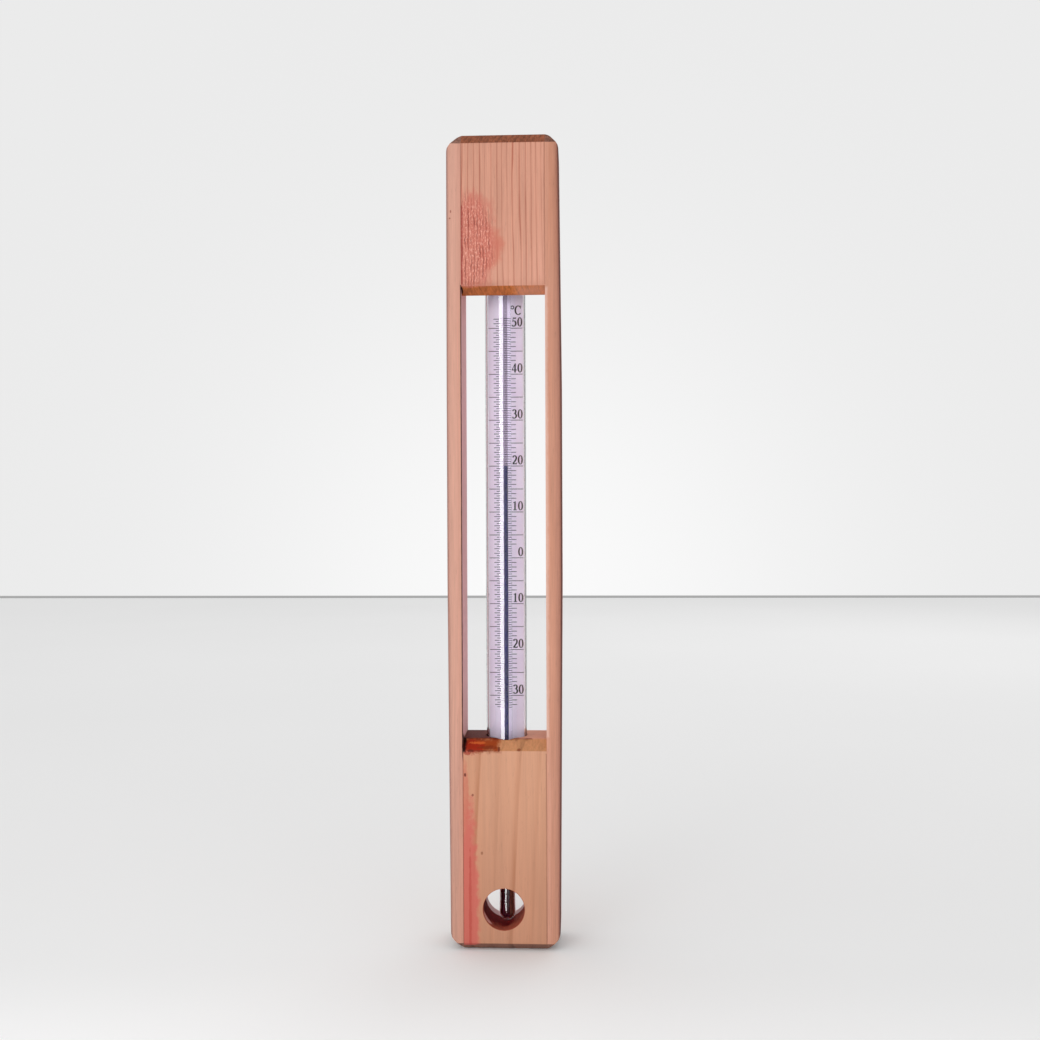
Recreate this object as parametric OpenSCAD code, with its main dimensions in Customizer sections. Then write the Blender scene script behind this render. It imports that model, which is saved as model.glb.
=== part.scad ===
/* [Case] */
// Height of the wooden case
case_h = 290; // [280:1:310]
// Width of the wooden case at its widest
case_w = 40.8; // [38:0.1:44]
// Depth of the wooden case, front to back
case_d = 20; // [19:0.5:24]
// Width of the left rail at its widest
left_rail_w = 5.4; // [5.2:0.1:6.5]
// Width of the right rail at its widest
right_rail_w = 5.7; // [5.4:0.1:6.5]
// Height of the block above the window, at its front face
top_block_h = 54.3; // [48:0.1:60]
// Height of the block below the window
bottom_block_h = 74.8; // [68:0.1:80]

/* [Case taper] */
// Height below which the rails narrow towards the bottom end
foot_taper_start = 130; // [110:5:150]
// Height above which the rails narrow towards the top end
head_taper_start = 200; // [180:5:220]
// Wood planed off the left rail at the bottom end
left_foot_taper = 0.7; // [0:0.05:1]
// Wood planed off the right rail at the bottom end
right_foot_taper = 1; // [0:0.05:1.2]
// Wood planed off the left rail at the top end
left_head_taper = 0.15; // [0:0.05:1]
// Wood planed off the right rail at the top end
right_head_taper = 0.8; // [0:0.05:1.2]

/* [Case edges] */
// Slope on the front and back edges of the top end
top_bevel = 4; // [2:0.5:5]
// Slope on the front and back edges of the bottom end
bottom_bevel = 2.5; // [1:0.5:4]
// Slope on the front edge of the window's sill
sill_bevel = 4; // [2:0.5:5]
// Slope on the front edge of the window's head, down to a lip that hides the sheath's entry
head_bevel = 3; // [2:0.1:3.2]
// Angle at which the head's underside rises from that lip to the back
head_rise = 12; // [11:1:20]
// Width of the corner taken off the top of the left rail
top_left_cut = 4.6; // [3:0.1:4.8]
// Height of that corner
top_left_drop = 5.8; // [3:0.1:8]
// Width of the corner taken off the top of the right rail
top_right_cut = 3.8; // [3:0.1:4.8]
// Height of that corner
top_right_drop = 5.2; // [3:0.1:8]
// Width of the corner taken off the bottom of the left rail
bottom_left_cut = 4.6; // [3:0.1:4.6]
// Height of that corner
bottom_left_rise = 5; // [3:0.1:8]
// Width of the corner taken off the bottom of the right rail
bottom_right_cut = 4.4; // [3:0.1:4.4]
// Height of that corner
bottom_right_rise = 4.8; // [3:0.1:8]
// Radius worn onto the case's long outer edges
edge_round = 1.5; // [0.5:0.1:2]

/* [Bulb hole] */
// Diameter of the hole that shows the bulb
hole_d = 14.8; // [13:0.1:18]
// Distance of the hole's middle to the right of the tube's axis
hole_x = -0.7; // [-1:0.1:1]
// Height of the hole's middle above the bottom end
hole_z = 14.6; // [13.5:0.1:18]
// Width of the broken edge round the hole at the back
hole_rim = 0.8; // [0.2:0.1:1.2]

/* [Glass sheath] */
// Outside diameter of the sheath
sheath_d = 14.6; // [14.2:0.1:15.2]
// Thickness of the sheath's glass
sheath_wall = 0.5; // [0.4:0.05:0.8]
// Distance of the sheath's axis behind the middle of the case
sheath_back = 1; // [0.5:0.1:1.4]
// Radial room between the sheath and the bores that hold it
sheath_room = 0.3; // [0.1:0.05:0.5]
// Length of the sheath inside the top block
sheath_reach = 32; // [28:1:36]
// Depth of the sheath's shoulder below the sill
shoulder_depth = 17.5; // [15:0.5:22]
// Height of the cone that narrows the sheath
shoulder_h = 7; // [5:0.5:9]
// Length of the collar fused round the top of the stem
collar_h = 3; // [2:0.5:5]
// Gap in the fused joint between collar and stem
fused_gap = 0.05; // [0.02:0.01:0.1]

/* [Bulb and capillary] */
// Outside diameter of the bulb and of the stem above it
bulb_d = 5.9; // [5.7:0.1:6.3]
// Thickness of the bulb's glass
bulb_wall = 0.6; // [0.4:0.05:0.8]
// Length of the hollow in the bulb
bulb_hollow = 26; // [22:1:30]
// Height of the bulb's tip above the floor of its hole
tip_gap = 0.45; // [0.3:0.05:2]
// Radial room between the stem and the bore through the block
stem_room = 0.45; // [0.2:0.05:1]
// Outside diameter of the capillary rod
capillary_d = 4.2; // [4:0.1:4.6]
// Diameter of the fine bore that the liquid rises in
bore_d = 1; // [0.6:0.05:1.4]
// Radial film between the liquid and the glass round it
liquid_gap = 0.03; // [0.02:0.01:0.06]
// Diameter of the safety chamber at the top of the bore
chamber_d = 2.2; // [1.8:0.1:3]
// Length of the safety chamber
chamber_h = 5; // [3:0.5:7]
// Glass left above the safety chamber
chamber_cap = 2; // [1:0.5:4]
// Height of the rounded head of the liquid thread
meniscus_h = 1.6; // [1:0.1:3]

/* [Scale plate] */
// Thickness of the opal plate
plate_t = 0.6; // [0.5:0.05:0.9]
// Room between the capillary and the plate behind it
plate_gap = 0.08; // [0.06:0.01:0.15]
// Room between the plate's edges and the sheath
plate_edge_room = 0.1; // [0.05:0.05:0.2]
// Distance of the capillary's end below the plate's top
capillary_short = 2; // [1:0.5:4]
// Depth of the notches that the tie wires lie in
notch_d = 0.9; // [0.7:0.1:1.3]
// Height of those notches
notch_h = 1.2; // [0.8:0.1:2]
// Distance of each tie inside the block that hides it
tie_depth = 8; // [7:0.5:10]
// Thickness of the tie wire
tie_wire = 0.3; // [0.2:0.05:0.4]
// Slack between the tie wire and what it binds
tie_slack = 0.05; // [0.02:0.01:0.1]

/* [Cork and felt] */
// Thickness of the cork saddle that the plate stands on
saddle_h = 3; // [2:0.5:4]
// Thickness of the cork plug above the plate
plug_h = 5; // [3:0.5:7]
// Radial room of the corks in the sheath, and of the capillary in the saddle
cork_room = 0.1; // [0.05:0.05:0.2]
// Thickness of the felt pad over the sheath's dome
pad_h = 2.5; // [1.5:0.5:4]
// Thickness of the felt ring under the sheath's shoulder
ring_h = 6; // [4.5:0.5:7]
// Room between felt and the glass or wood round it
felt_room = 0.2; // [0.1:0.05:0.3]

/* [Scale] */
// Bare plate between the sill and the lowest mark
scale_foot_room = 9.9; // [9:0.1:11.5]
// Bare plate between the highest mark and the window's top
scale_head_room = 10; // [8.5:0.1:11.5]
// Lowest mark, in half degrees
lowest_half = -65; // [-68:1:-60]
// Highest mark, in half degrees
highest_half = 104; // [100:1:106]
// Reading of the liquid at rest, in degrees
reading = 20; // [0:1:40]
// Thickness of a printed line up and down the plate
line_w = 0.24; // [0.1:0.02:0.4]
// Height of the fired enamel above the plate
enamel_t = 0.04; // [0.02:0.01:0.05]
// Reach of a half-degree line to the left of the middle
half_left = 3.5; // [3:0.1:4]
// Reach of a half-degree line to the right of the middle
half_right = 1.8; // [1.2:0.1:1.9]
// Reach of a one-degree line to the left of the middle
unit_left = 4.4; // [4:0.1:5]
// Reach of a one-degree line to the right of the middle
unit_right = 3.7; // [3:0.1:4.2]
// Bare glass left at each end of a five-degree line
line_margin = 0.15; // [0.1:0.05:0.5]
// Height of the numbers
digit_h = 3.2; // [2.8:0.05:3.4]
// Distance from one digit to the next
digit_step = 2.04; // [1.9:0.02:2.1]
// Height of a number's foot above its line
digit_lift = 0.65; // [0.4:0.05:1]
// Bare glass to the right of the numbers
digit_margin = 0.15; // [0.05:0.05:0.3]
// Height of the unit's foot above the highest mark
unit_gap = 1.56; // [0.8:0.02:2.2]

/* [Hidden] */
$fn = 64;

// Length that a cut runs past the surface it opens
past = 1;
// Wood colours, side rails paler than the blocks
rail_wood = [0.82, 0.62, 0.53];
block_wood = [0.80, 0.56, 0.47];
clear_glass = [0.88, 0.90, 0.95, 0.35];
cork = [0.72, 0.52, 0.34];
felt = [0.62, 0.60, 0.56];
enamel = [0.20, 0.15, 0.22];
spirit = [0.12, 0.10, 0.42];

window_left = -case_w / 2 + left_rail_w;
window_right = case_w / 2 - right_rail_w;
window_bottom = bottom_block_h;
window_top = case_h - top_block_h;

// The capillary runs down the middle of the case, and the sheath's axis lies a little behind it
sheath_r = sheath_d / 2;
sheath_inner_r = sheath_r - sheath_wall;
sheath_bore_r = sheath_r + sheath_room;
sheath_top = window_top + sheath_reach;
dome_z = sheath_top - sheath_r;
shoulder_top = window_bottom - shoulder_depth;
shoulder_bottom = shoulder_top - shoulder_h;
stem_r = bulb_d / 2;
capillary_r = capillary_d / 2;
collar_inner_r = max(stem_r, capillary_r + sheath_back) + fused_gap;
collar_r = collar_inner_r + sheath_wall;
collar_bottom = shoulder_bottom - collar_h;

tip_z = hole_z - hole_d / 2 + tip_gap;
hollow_r = stem_r - bulb_wall;
tip_centre = tip_z + stem_r;
hollow_top = tip_centre + bulb_hollow;
bore_r = bore_d / 2;
liquid_r = bore_r - liquid_gap;

// The marks are spread evenly over the window, less the bare plate at its ends
degree_h = 2 * (window_top - window_bottom - scale_foot_room - scale_head_room) / (highest_half - lowest_half);
zero_z = window_bottom + scale_foot_room - lowest_half * degree_h / 2;
reading_z = zero_z + reading * degree_h;

plate_front = capillary_r + plate_gap;
plate_back = plate_front + plate_t;
plate_reach = sheath_inner_r - plate_edge_room;
plate_half = sqrt(plate_reach * plate_reach - (plate_back - sheath_back) * (plate_back - sheath_back));
plate_bottom = shoulder_top + saddle_h;
plate_top = dome_z - plug_h;
capillary_top = plate_top - capillary_short;
chamber_bottom = capillary_top - chamber_cap - chamber_h;
upper_tie_z = window_top + tie_depth;
lower_tie_z = window_bottom - tie_depth;

pad_bottom = sheath_top + felt_room;
top_bore_end = pad_bottom + pad_h;
ring_bottom = collar_bottom - felt_room;
pad_r = sheath_bore_r - felt_room;

// Case seen from the front: rails narrowed towards both ends, with a corner off each
module front_outline() {
    side = case_w / 2;
    left_foot = -side + left_foot_taper;
    left_head = -side + left_head_taper;
    right_foot = side - right_foot_taper;
    right_head = side - right_head_taper;
    polygon([
        [left_foot, bottom_left_rise],
        [-side, foot_taper_start],
        [-side, head_taper_start],
        [left_head, case_h - top_left_drop],
        [left_head + top_left_cut, case_h],
        [right_head - top_right_cut, case_h],
        [right_head, case_h - top_right_drop],
        [side, head_taper_start],
        [side, foot_taper_start],
        [right_foot, bottom_right_rise],
        [right_foot - bottom_right_cut, 0],
        [left_foot + bottom_left_cut, 0]
    ]);
}

// Case seen from the side, with sloped ends
module side_outline() {
    face = case_d / 2;
    polygon([
        [-face, bottom_bevel],
        [-face, case_h - top_bevel],
        [-face + top_bevel, case_h],
        [face - top_bevel, case_h],
        [face, case_h - top_bevel],
        [face, bottom_bevel],
        [face - bottom_bevel, 0],
        [-face + bottom_bevel, 0]
    ]);
}

// Case seen from above, with worn corners
module plan_outline() {
    square([case_w - 2 * edge_round, case_d], center = true);
    square([case_w, case_d - 2 * edge_round], center = true);
    for (x = [-1, 1], y = [-1, 1])
        translate([x * (case_w / 2 - edge_round), y * (case_d / 2 - edge_round)])
            circle(r = edge_round);
}

// The whole case as one block, before it is parted into rails and blocks
module case_blank() {
    intersection() {
        rotate([90, 0, 0])
            linear_extrude(height = case_d + 2 * past, center = true)
                front_outline();
        rotate([90, 0, 90])
            linear_extrude(height = case_w + 2 * past, center = true)
                side_outline();
        linear_extrude(height = case_h)
            plan_outline();
    }
}

// Part of the case between two heights and two side planes
module case_slice(x_low, x_high, z_low, z_high) {
    intersection() {
        case_blank();
        translate([x_low, -case_d, z_low])
            cube([x_high - x_low, 2 * case_d, z_high - z_low]);
    }
}

module left_rail() {
    color(rail_wood)
        case_slice(-case_w / 2 - past, window_left, -past, case_h + past);
}

module right_rail() {
    color(rail_wood)
        case_slice(window_right, case_w / 2 + past, -past, case_h + past);
}

// Prism of the air under the window's head, up to the front slope and the rising underside
module head_cut() {
    face = case_d / 2;
    lip_y = -face + head_bevel;
    lip_z = window_top - head_bevel;
    back_z = lip_z + (face + past - lip_y) * tan(head_rise);
    rotate([90, 0, 90])
        linear_extrude(height = case_w, center = true)
            polygon([
                [-face - past, window_top + past],
                [lip_y, lip_z],
                [face + past, back_z],
                [face + past, lip_z - past],
                [-face - past, lip_z - past]
            ]);
}

// Upper block with the blind bore that the sheath's dome goes into
module top_block() {
    foot = window_top - head_bevel;
    color(block_wood)
        difference() {
            case_slice(window_left, window_right, foot, case_h + past);
            translate([0, sheath_back, foot - past])
                cylinder(r = sheath_bore_r, h = top_bore_end - foot + past);
            head_cut();
        }
}

// Prism that slopes the front edge of the sill
module sill_cut() {
    face = -case_d / 2;
    rotate([90, 0, 90])
        linear_extrude(height = case_w, center = true)
            polygon([
                [face - past, window_bottom - sill_bevel - past],
                [face - past, window_bottom + past],
                [face + sill_bevel + past, window_bottom + past]
            ]);
}

// Round hole from front to back, with its edge broken at the back
module bulb_hole() {
    hole_r = hole_d / 2;
    translate([hole_x, 0, hole_z])
        rotate([-90, 0, 0]) {
            cylinder(r = hole_r, h = case_d + 2 * past, center = true);
            translate([0, 0, case_d / 2 - hole_rim])
                cylinder(r1 = hole_r, r2 = hole_r + hole_rim + past, h = hole_rim + past);
        }
}

// Lower block with the stepped bore for sheath and stem, and the hole across the bulb
module bottom_block() {
    color(block_wood)
        difference() {
            case_slice(window_left, window_right, -past, window_bottom);
            translate([0, sheath_back, ring_bottom])
                cylinder(r = sheath_bore_r, h = window_bottom - ring_bottom + past);
            translate([0, sheath_back, hole_z])
                cylinder(r = stem_r + stem_room, h = ring_bottom - hole_z + past);
            sill_cut();
            bulb_hole();
        }
}

// Solid shape of the sheath at one glass surface: dome, tube, cone and collar
module sheath_shape(tube_r, neck_r, foot_z) {
    translate([0, 0, shoulder_top])
        cylinder(r = tube_r, h = dome_z - shoulder_top);
    translate([0, 0, dome_z])
        sphere(r = tube_r);
    translate([0, 0, shoulder_bottom])
        cylinder(r1 = neck_r, r2 = tube_r, h = shoulder_h);
    translate([0, 0, foot_z])
        cylinder(r = neck_r, h = shoulder_bottom - foot_z);
}

module sheath() {
    color(clear_glass)
        translate([0, sheath_back, 0])
            difference() {
                sheath_shape(sheath_r, collar_r, collar_bottom);
                sheath_shape(sheath_inner_r, collar_inner_r, collar_bottom - past);
            }
}

// Round-ended space inside the bulb, less a film all round
module bulb_hollow_shape(film) {
    translate([0, sheath_back, tip_centre]) {
        cylinder(r = hollow_r - film, h = bulb_hollow - film);
        sphere(r = hollow_r - film);
    }
}

// Bulb and stem in one piece of glass, with the fine bore off its middle
module bulb() {
    color(clear_glass)
        difference() {
            translate([0, sheath_back, tip_centre]) {
                cylinder(r = stem_r, h = shoulder_bottom - tip_centre);
                sphere(r = stem_r);
            }
            bulb_hollow_shape(0);
            translate([0, 0, hollow_top - past])
                cylinder(r = bore_r, h = shoulder_bottom - hollow_top + 2 * past);
        }
}

module bulb_liquid() {
    color(spirit)
        bulb_hollow_shape(liquid_gap);
}

// Rod with a fine bore that opens into a safety chamber near its closed top
module capillary() {
    color(clear_glass)
        difference() {
            translate([0, 0, shoulder_bottom])
                cylinder(r = capillary_r, h = capillary_top - shoulder_bottom);
            translate([0, 0, shoulder_bottom - past])
                cylinder(r = bore_r, h = chamber_bottom - shoulder_bottom + 2 * past);
            translate([0, 0, chamber_bottom])
                cylinder(r = chamber_d / 2, h = chamber_h);
        }
}

// Liquid thread from the bulb up to the foot of its head
module liquid_column() {
    color(spirit)
        translate([0, 0, hollow_top])
            cylinder(r = liquid_r, h = reading_z - meniscus_h - hollow_top);
}

// Head of the liquid thread, hollowed where the liquid climbs the glass
module meniscus() {
    dish_r = 1.25 * liquid_r;
    color(spirit)
        difference() {
            translate([0, 0, reading_z - meniscus_h])
                cylinder(r = liquid_r, h = meniscus_h);
            translate([0, 0, reading_z + sqrt(dish_r * dish_r - liquid_r * liquid_r)])
                sphere(r = dish_r);
        }
}

// Pair of notches in the plate's edges at one height
module plate_notches(z) {
    for (side = [-1, 1])
        translate([side * plate_half, (plate_front + plate_back) / 2, z])
            cube([2 * notch_d, plate_t + 2 * past, notch_h], center = true);
}

module scale_plate() {
    color([0.90, 0.86, 0.92])
        difference() {
            translate([-plate_half, plate_front, plate_bottom])
                cube([2 * plate_half, plate_t, plate_top - plate_bottom]);
            plate_notches(upper_tie_z);
            plate_notches(lower_tie_z);
        }
}

// One fired line across the plate
module scale_line(z, left, right) {
    translate([left, plate_front - enamel_t, z - line_w / 2])
        cube([right - left, enamel_t, line_w]);
}

// Whether a number stands to the right of a mark, counted in half degrees
number_high = 2 * (digit_lift + digit_h) / degree_h + 1;
function beside_number(half) = let (above = (half % 20 + 20) % 20) above > 0 && above < number_high;

// Marks every half degree: longest each five degrees, and a degree's line is cut short beside a number
module graduations() {
    long_line = plate_half - line_margin;
    color(enamel)
        for (half = [lowest_half : highest_half]) {
            z = zero_z + half * degree_h / 2;
            if (half % 10 == 0)
                scale_line(z, -long_line, long_line);
            else if (half % 2 == 0)
                scale_line(z, -unit_left, beside_number(half) ? half_right : unit_right);
            else
                scale_line(z, -half_left, half_right);
        }
}

// Weight of a pen stroke, in parts of the figure's height: thin across, thick up and down
pen_thin = 0.07;
pen_thick = 0.17;

function unit(v) = v / norm(v);
function ahead(path, i) = path[min(i + 1, len(path) - 1)] - path[max(i - 1, 0)];
function pen_half(path, i) = (pen_thin + (pen_thick - pen_thin) * pow(abs(unit(ahead(path, i)).y), 1.5)) / 2;
function pen_normal(path, i) = let (t = unit(ahead(path, i))) [-t.y, t.x];
function pen_side(path, side) =
    [for (i = [0 : len(path) - 1]) path[i] + side * pen_half(path, i) * pen_normal(path, i)];
function arc(centre, rx, ry, from, to, steps) =
    [for (i = [0 : steps]) let (a = from + (to - from) * i / steps) centre + [rx * cos(a), ry * sin(a)]];
function bend(a, b, c, steps) =
    [for (i = [0 : steps]) let (t = i / steps) (1 - t) * (1 - t) * a + 2 * t * (1 - t) * b + t * t * c];
function backward(path) = [for (i = [len(path) - 1 : -1 : 0]) path[i]];

// One stroke of a broad pen along a path
module pen(path) {
    polygon(concat(pen_side(path, 1), backward(pen_side(path, -1))));
}

// Round end of a stroke
module pen_dot(at, r) {
    translate(at)
        circle(r = r, $fn = 16);
}

// Figures are drawn one unit high and about two thirds of a unit wide
module figure_0() {
    difference() {
        polygon(arc([0.31, 0.5], 0.21 + pen_thick / 2, 0.485 + pen_thin / 2, 0, 345, 23));
        polygon(arc([0.31, 0.5], 0.21 - pen_thick / 2, 0.485 - pen_thin / 2, 0, 345, 23));
    }
}

module figure_1() {
    polygon([[0.23, 0.03], [0.39, 0.03], [0.39, 1], [0.34, 1], [0.12, 0.87], [0.14, 0.82], [0.23, 0.86]]);
    translate([0.12, 0])
        square([0.38, pen_thin]);
}

module figure_2() {
    pen(concat(
        arc([0.29, 0.72], 0.19, 0.25, 165, -20, 14),
        bend([0.45, 0.58], [0.36, 0.38], [0.09, 0.07], 6)
    ));
    polygon([[0.05, 0], [0.52, 0], [0.58, 0.21], [0.55, 0.21], [0.47, 0.11], [0.09, 0.11]]);
}

module figure_3() {
    pen(arc([0.27, 0.77], 0.18, 0.21, 160, -80, 14));
    pen(arc([0.25, 0.285], 0.245, 0.27, 95, -140, 14));
    pen_dot([0.10, 0.12], 0.06);
}

module figure_4() {
    difference() {
        polygon([[0.46, 1], [0.36, 1], [0.02, 0.32], [0.02, 0.23], [0.58, 0.23], [0.58, 0.32], [0.46, 0.32]]);
        polygon([[0.3, 0.76], [0.3, 0.32], [0.1, 0.32]]);
    }
    translate([0.3, 0])
        square([0.16, 0.3]);
}

module figure_5() {
    polygon([[0.18, 0.99], [0.50, 0.99], [0.54, 1.03], [0.49, 0.87], [0.21, 0.87], [0.17, 0.62], [0.10, 0.53]]);
    pen(arc([0.25, 0.325], 0.235, 0.30, 125, -140, 16));
    pen_dot([0.09, 0.12], 0.06);
}

module figure_c() {
    pen(arc([0.42, 0.5], 0.34, 0.49, 42, 318, 22));
    polygon([[0.66, 0.68], [0.71, 0.68], [0.71, 1.02], [0.68, 1.02], [0.61, 0.90]]);
}

module figure_degree() {
    difference() {
        circle(r = 0.21, $fn = 24);
        circle(r = 0.125, $fn = 24);
    }
}

module figure(digit) {
    if (digit == 0) figure_0();
    if (digit == 1) figure_1();
    if (digit == 2) figure_2();
    if (digit == 3) figure_3();
    if (digit == 4) figure_4();
    if (digit == 5) figure_5();
}

// Stands a flat drawing on the plate's face, its origin at a place on the plate
module on_plate(x, z) {
    translate([x, plate_front, z])
        rotate([90, 0, 0])
            linear_extrude(height = enamel_t)
                children();
}

// Number for every tenth degree, without a sign, right-aligned
module numerals() {
    number_right = plate_half - digit_margin;
    color(enamel)
        for (ten = [ceil(lowest_half / 20) : floor(highest_half / 20)]) {
            foot = zero_z + 10 * ten * degree_h + digit_lift;
            on_plate(number_right - digit_step, foot)
                scale(digit_h)
                    figure(0);
            if (ten != 0)
                on_plate(number_right - 2 * digit_step, foot)
                    scale(digit_h)
                        figure(abs(ten));
        }
}

// Degree ring and letter above the top number
module unit_mark() {
    foot = zero_z + highest_half * degree_h / 2 + unit_gap;
    letter_left = plate_half - digit_margin - 1.45 * digit_step;
    ring_x = letter_left - 0.4 * digit_step;
    color(enamel) {
        on_plate(letter_left, foot)
            scale(digit_h)
                figure_c();
        on_plate(ring_x, foot + 0.82 * digit_h)
            scale(digit_h)
                figure_degree();
    }
}

// Outline of capillary and notched plate together, grown by a margin
module bundle_outline(margin) {
    r = capillary_r + margin;
    half = plate_half - notch_d + margin;
    front = plate_front - margin;
    back = plate_back + margin;
    // A straight run leaves the rod where it is tangent to the line from the plate's front corner
    reach = norm([half, front]);
    turn = atan2(front, half) - acos(r / reach);
    touch = [r * cos(turn), r * sin(turn)];
    circle(r = r);
    polygon([
        [half, front],
        [half, back],
        [-half, back],
        [-half, front],
        [-touch.x, touch.y],
        touch
    ]);
}

// Loop of wire round capillary and plate
module tie(z) {
    color([0.72, 0.45, 0.30])
        translate([0, 0, z - tie_wire / 2])
            linear_extrude(height = tie_wire)
                difference() {
                    bundle_outline(tie_slack + tie_wire);
                    bundle_outline(tie_slack);
                }
}

module upper_tie() {
    tie(upper_tie_z);
}

module lower_tie() {
    tie(lower_tie_z);
}

// Cork disc on the sheath's shoulder, with a hole for the capillary
module plate_saddle() {
    color(cork)
        difference() {
            translate([0, sheath_back, shoulder_top])
                cylinder(r = sheath_inner_r - cork_room, h = saddle_h);
            translate([0, 0, shoulder_top - past])
                cylinder(r = capillary_r + cork_room, h = saddle_h + 2 * past);
        }
}

// Cork disc that holds the plate down from under the dome
module plate_plug() {
    color(cork)
        translate([0, sheath_back, plate_top])
            cylinder(r = sheath_inner_r - cork_room, h = plug_h);
}

// Felt between the dome and the end of the upper bore
module top_pad() {
    color(felt)
        translate([0, sheath_back, pad_bottom])
            cylinder(r = pad_r, h = pad_h);
}

// Felt ring in the lower bore, dished to the sheath's cone
module shoulder_ring() {
    color(felt)
        translate([0, sheath_back, ring_bottom])
            difference() {
                cylinder(r = pad_r, h = ring_h);
                translate([0, 0, -past])
                    cylinder(r = collar_r + felt_room, h = ring_h + 2 * past);
                translate([0, 0, shoulder_bottom - ring_bottom])
                    cylinder(r1 = collar_r + felt_room, r2 = sheath_r + felt_room, h = shoulder_h);
            }
}

left_rail();
right_rail();
top_block();
bottom_block();
sheath();
bulb();
bulb_liquid();
capillary();
liquid_column();
meniscus();
scale_plate();
graduations();
numerals();
unit_mark();
upper_tie();
lower_tie();
plate_saddle();
plate_plug();
top_pad();
shoulder_ring();
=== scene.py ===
# %% [markdown]
# # A wooden-cased thermometer, finished in Blender
# The object is a slender softwood case, 29 cm high. A window in it shows a glass tube with a scale, and a
# round hole near the foot lets the drink reach the bulb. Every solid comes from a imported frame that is
# already the right size. This lesson gives each piece the shape of its edges and the finish of its surface.

# %% Load the frame
import math
import bpy
from mathutils import Matrix, Vector


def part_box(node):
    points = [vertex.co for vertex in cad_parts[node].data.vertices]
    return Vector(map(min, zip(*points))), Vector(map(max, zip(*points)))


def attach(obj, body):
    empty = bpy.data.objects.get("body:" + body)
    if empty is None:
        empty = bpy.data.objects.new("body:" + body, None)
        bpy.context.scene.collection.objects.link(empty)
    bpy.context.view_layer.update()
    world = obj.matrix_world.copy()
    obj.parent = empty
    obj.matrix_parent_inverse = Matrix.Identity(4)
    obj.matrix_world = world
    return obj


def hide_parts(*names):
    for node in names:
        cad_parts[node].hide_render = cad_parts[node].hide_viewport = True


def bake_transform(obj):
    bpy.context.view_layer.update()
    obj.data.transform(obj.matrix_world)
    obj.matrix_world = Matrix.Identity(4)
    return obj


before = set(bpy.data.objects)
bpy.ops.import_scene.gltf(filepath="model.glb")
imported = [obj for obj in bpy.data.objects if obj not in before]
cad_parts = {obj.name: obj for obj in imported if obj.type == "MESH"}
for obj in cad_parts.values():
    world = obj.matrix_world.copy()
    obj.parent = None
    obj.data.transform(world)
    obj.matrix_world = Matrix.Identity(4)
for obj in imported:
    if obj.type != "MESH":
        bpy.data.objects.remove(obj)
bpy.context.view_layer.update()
MM = 0.001


def box_mm(node):
    """Lowest and highest corner of a frame's node, in mm."""
    low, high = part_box(node)
    return low / MM, high / MM


# %% [markdown]
# ## Camera
# The photograph was taken from the front, a little to the right of the case and just above its middle. The
# camera's place and its three small turns were found by matching the corners of the window, the marks of the
# scale and the hole, so it is set from those numbers rather than by eye. It is placed first, because every
# later choice is judged through it.

# %% Place the camera
PHOTO_WIDTH = 1040
FOCAL_PIXELS = 1201.9
SENSOR_MM = 36
camera_place = Vector((25.89, -434.45, 155.92)) * MM
pan = math.radians(2.738)
nod = math.radians(-0.424)
roll = math.radians(-0.228)
across = Vector((math.cos(pan), math.sin(pan), 0))
level = Vector((-math.sin(pan), math.cos(pan), 0))
ahead = level * math.cos(nod) + Vector((0, 0, math.sin(nod)))
above = Vector((0, 0, math.cos(nod))) - level * math.sin(nod)
right = across * math.cos(roll) + above * math.sin(roll)
top = above * math.cos(roll) - across * math.sin(roll)
turn = Matrix((right, top, -ahead)).transposed().to_euler()
bpy.ops.object.camera_add(location=camera_place, rotation=turn)
camera = bpy.context.active_object
camera.name = "photo_camera"
camera.data.sensor_width = SENSOR_MM
camera.data.lens = FOCAL_PIXELS / PHOTO_WIDTH * SENSOR_MM
camera.data.clip_start = 0.01
bpy.context.scene.camera = camera
bpy.context.scene.view_settings.view_transform = "Standard"
print("lens in mm:", round(camera.data.lens, 2))

# %% [markdown]
# ## Working by hand
# Operators act on whatever is selected, so each step first clears the selection and picks its own piece.
# These few helpers are the hand movements that the whole lesson repeats: pick up a piece, saw a block to
# size, plane a flat on it, cut a shape out of it, and round its edges. All sizes are in mm, as a maker would
# write them, and are turned into Blender's metres where they are used.

# %% Pick up a piece
def deselect_all():
    bpy.ops.object.select_all(action="DESELECT")


def pick_up(piece):
    deselect_all()
    piece.select_set(True)
    bpy.context.view_layer.objects.active = piece


def settle(piece, name):
    """Names a new piece and writes its place into its mesh, so that its object sits at the origin."""
    piece.name = name
    piece.data.name = name
    pick_up(piece)
    bpy.ops.object.transform_apply(location=True, rotation=True, scale=True)
    return piece


# %% Saw a block to size
def saw_block(name, low, high):
    deselect_all()
    middle = (Vector(low) + Vector(high)) / 2
    size = Vector(high) - Vector(low)
    bpy.ops.mesh.primitive_cube_add(size=1, location=middle, scale=size)
    return settle(bpy.context.active_object, name)


# %% Plane a flat
def plane_off(piece, point, outward):
    """Planes off all that lies outside the flat through a point in mm, on the side that outward points to."""
    pick_up(piece)
    bpy.ops.object.mode_set(mode="EDIT")
    bpy.ops.mesh.select_all(action="SELECT")
    bpy.ops.mesh.bisect(
        plane_co=Vector(point) * MM,
        plane_no=Vector(outward).normalized(),
        use_fill=True,
        clear_outer=True,
    )
    bpy.ops.object.mode_set(mode="OBJECT")


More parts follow.
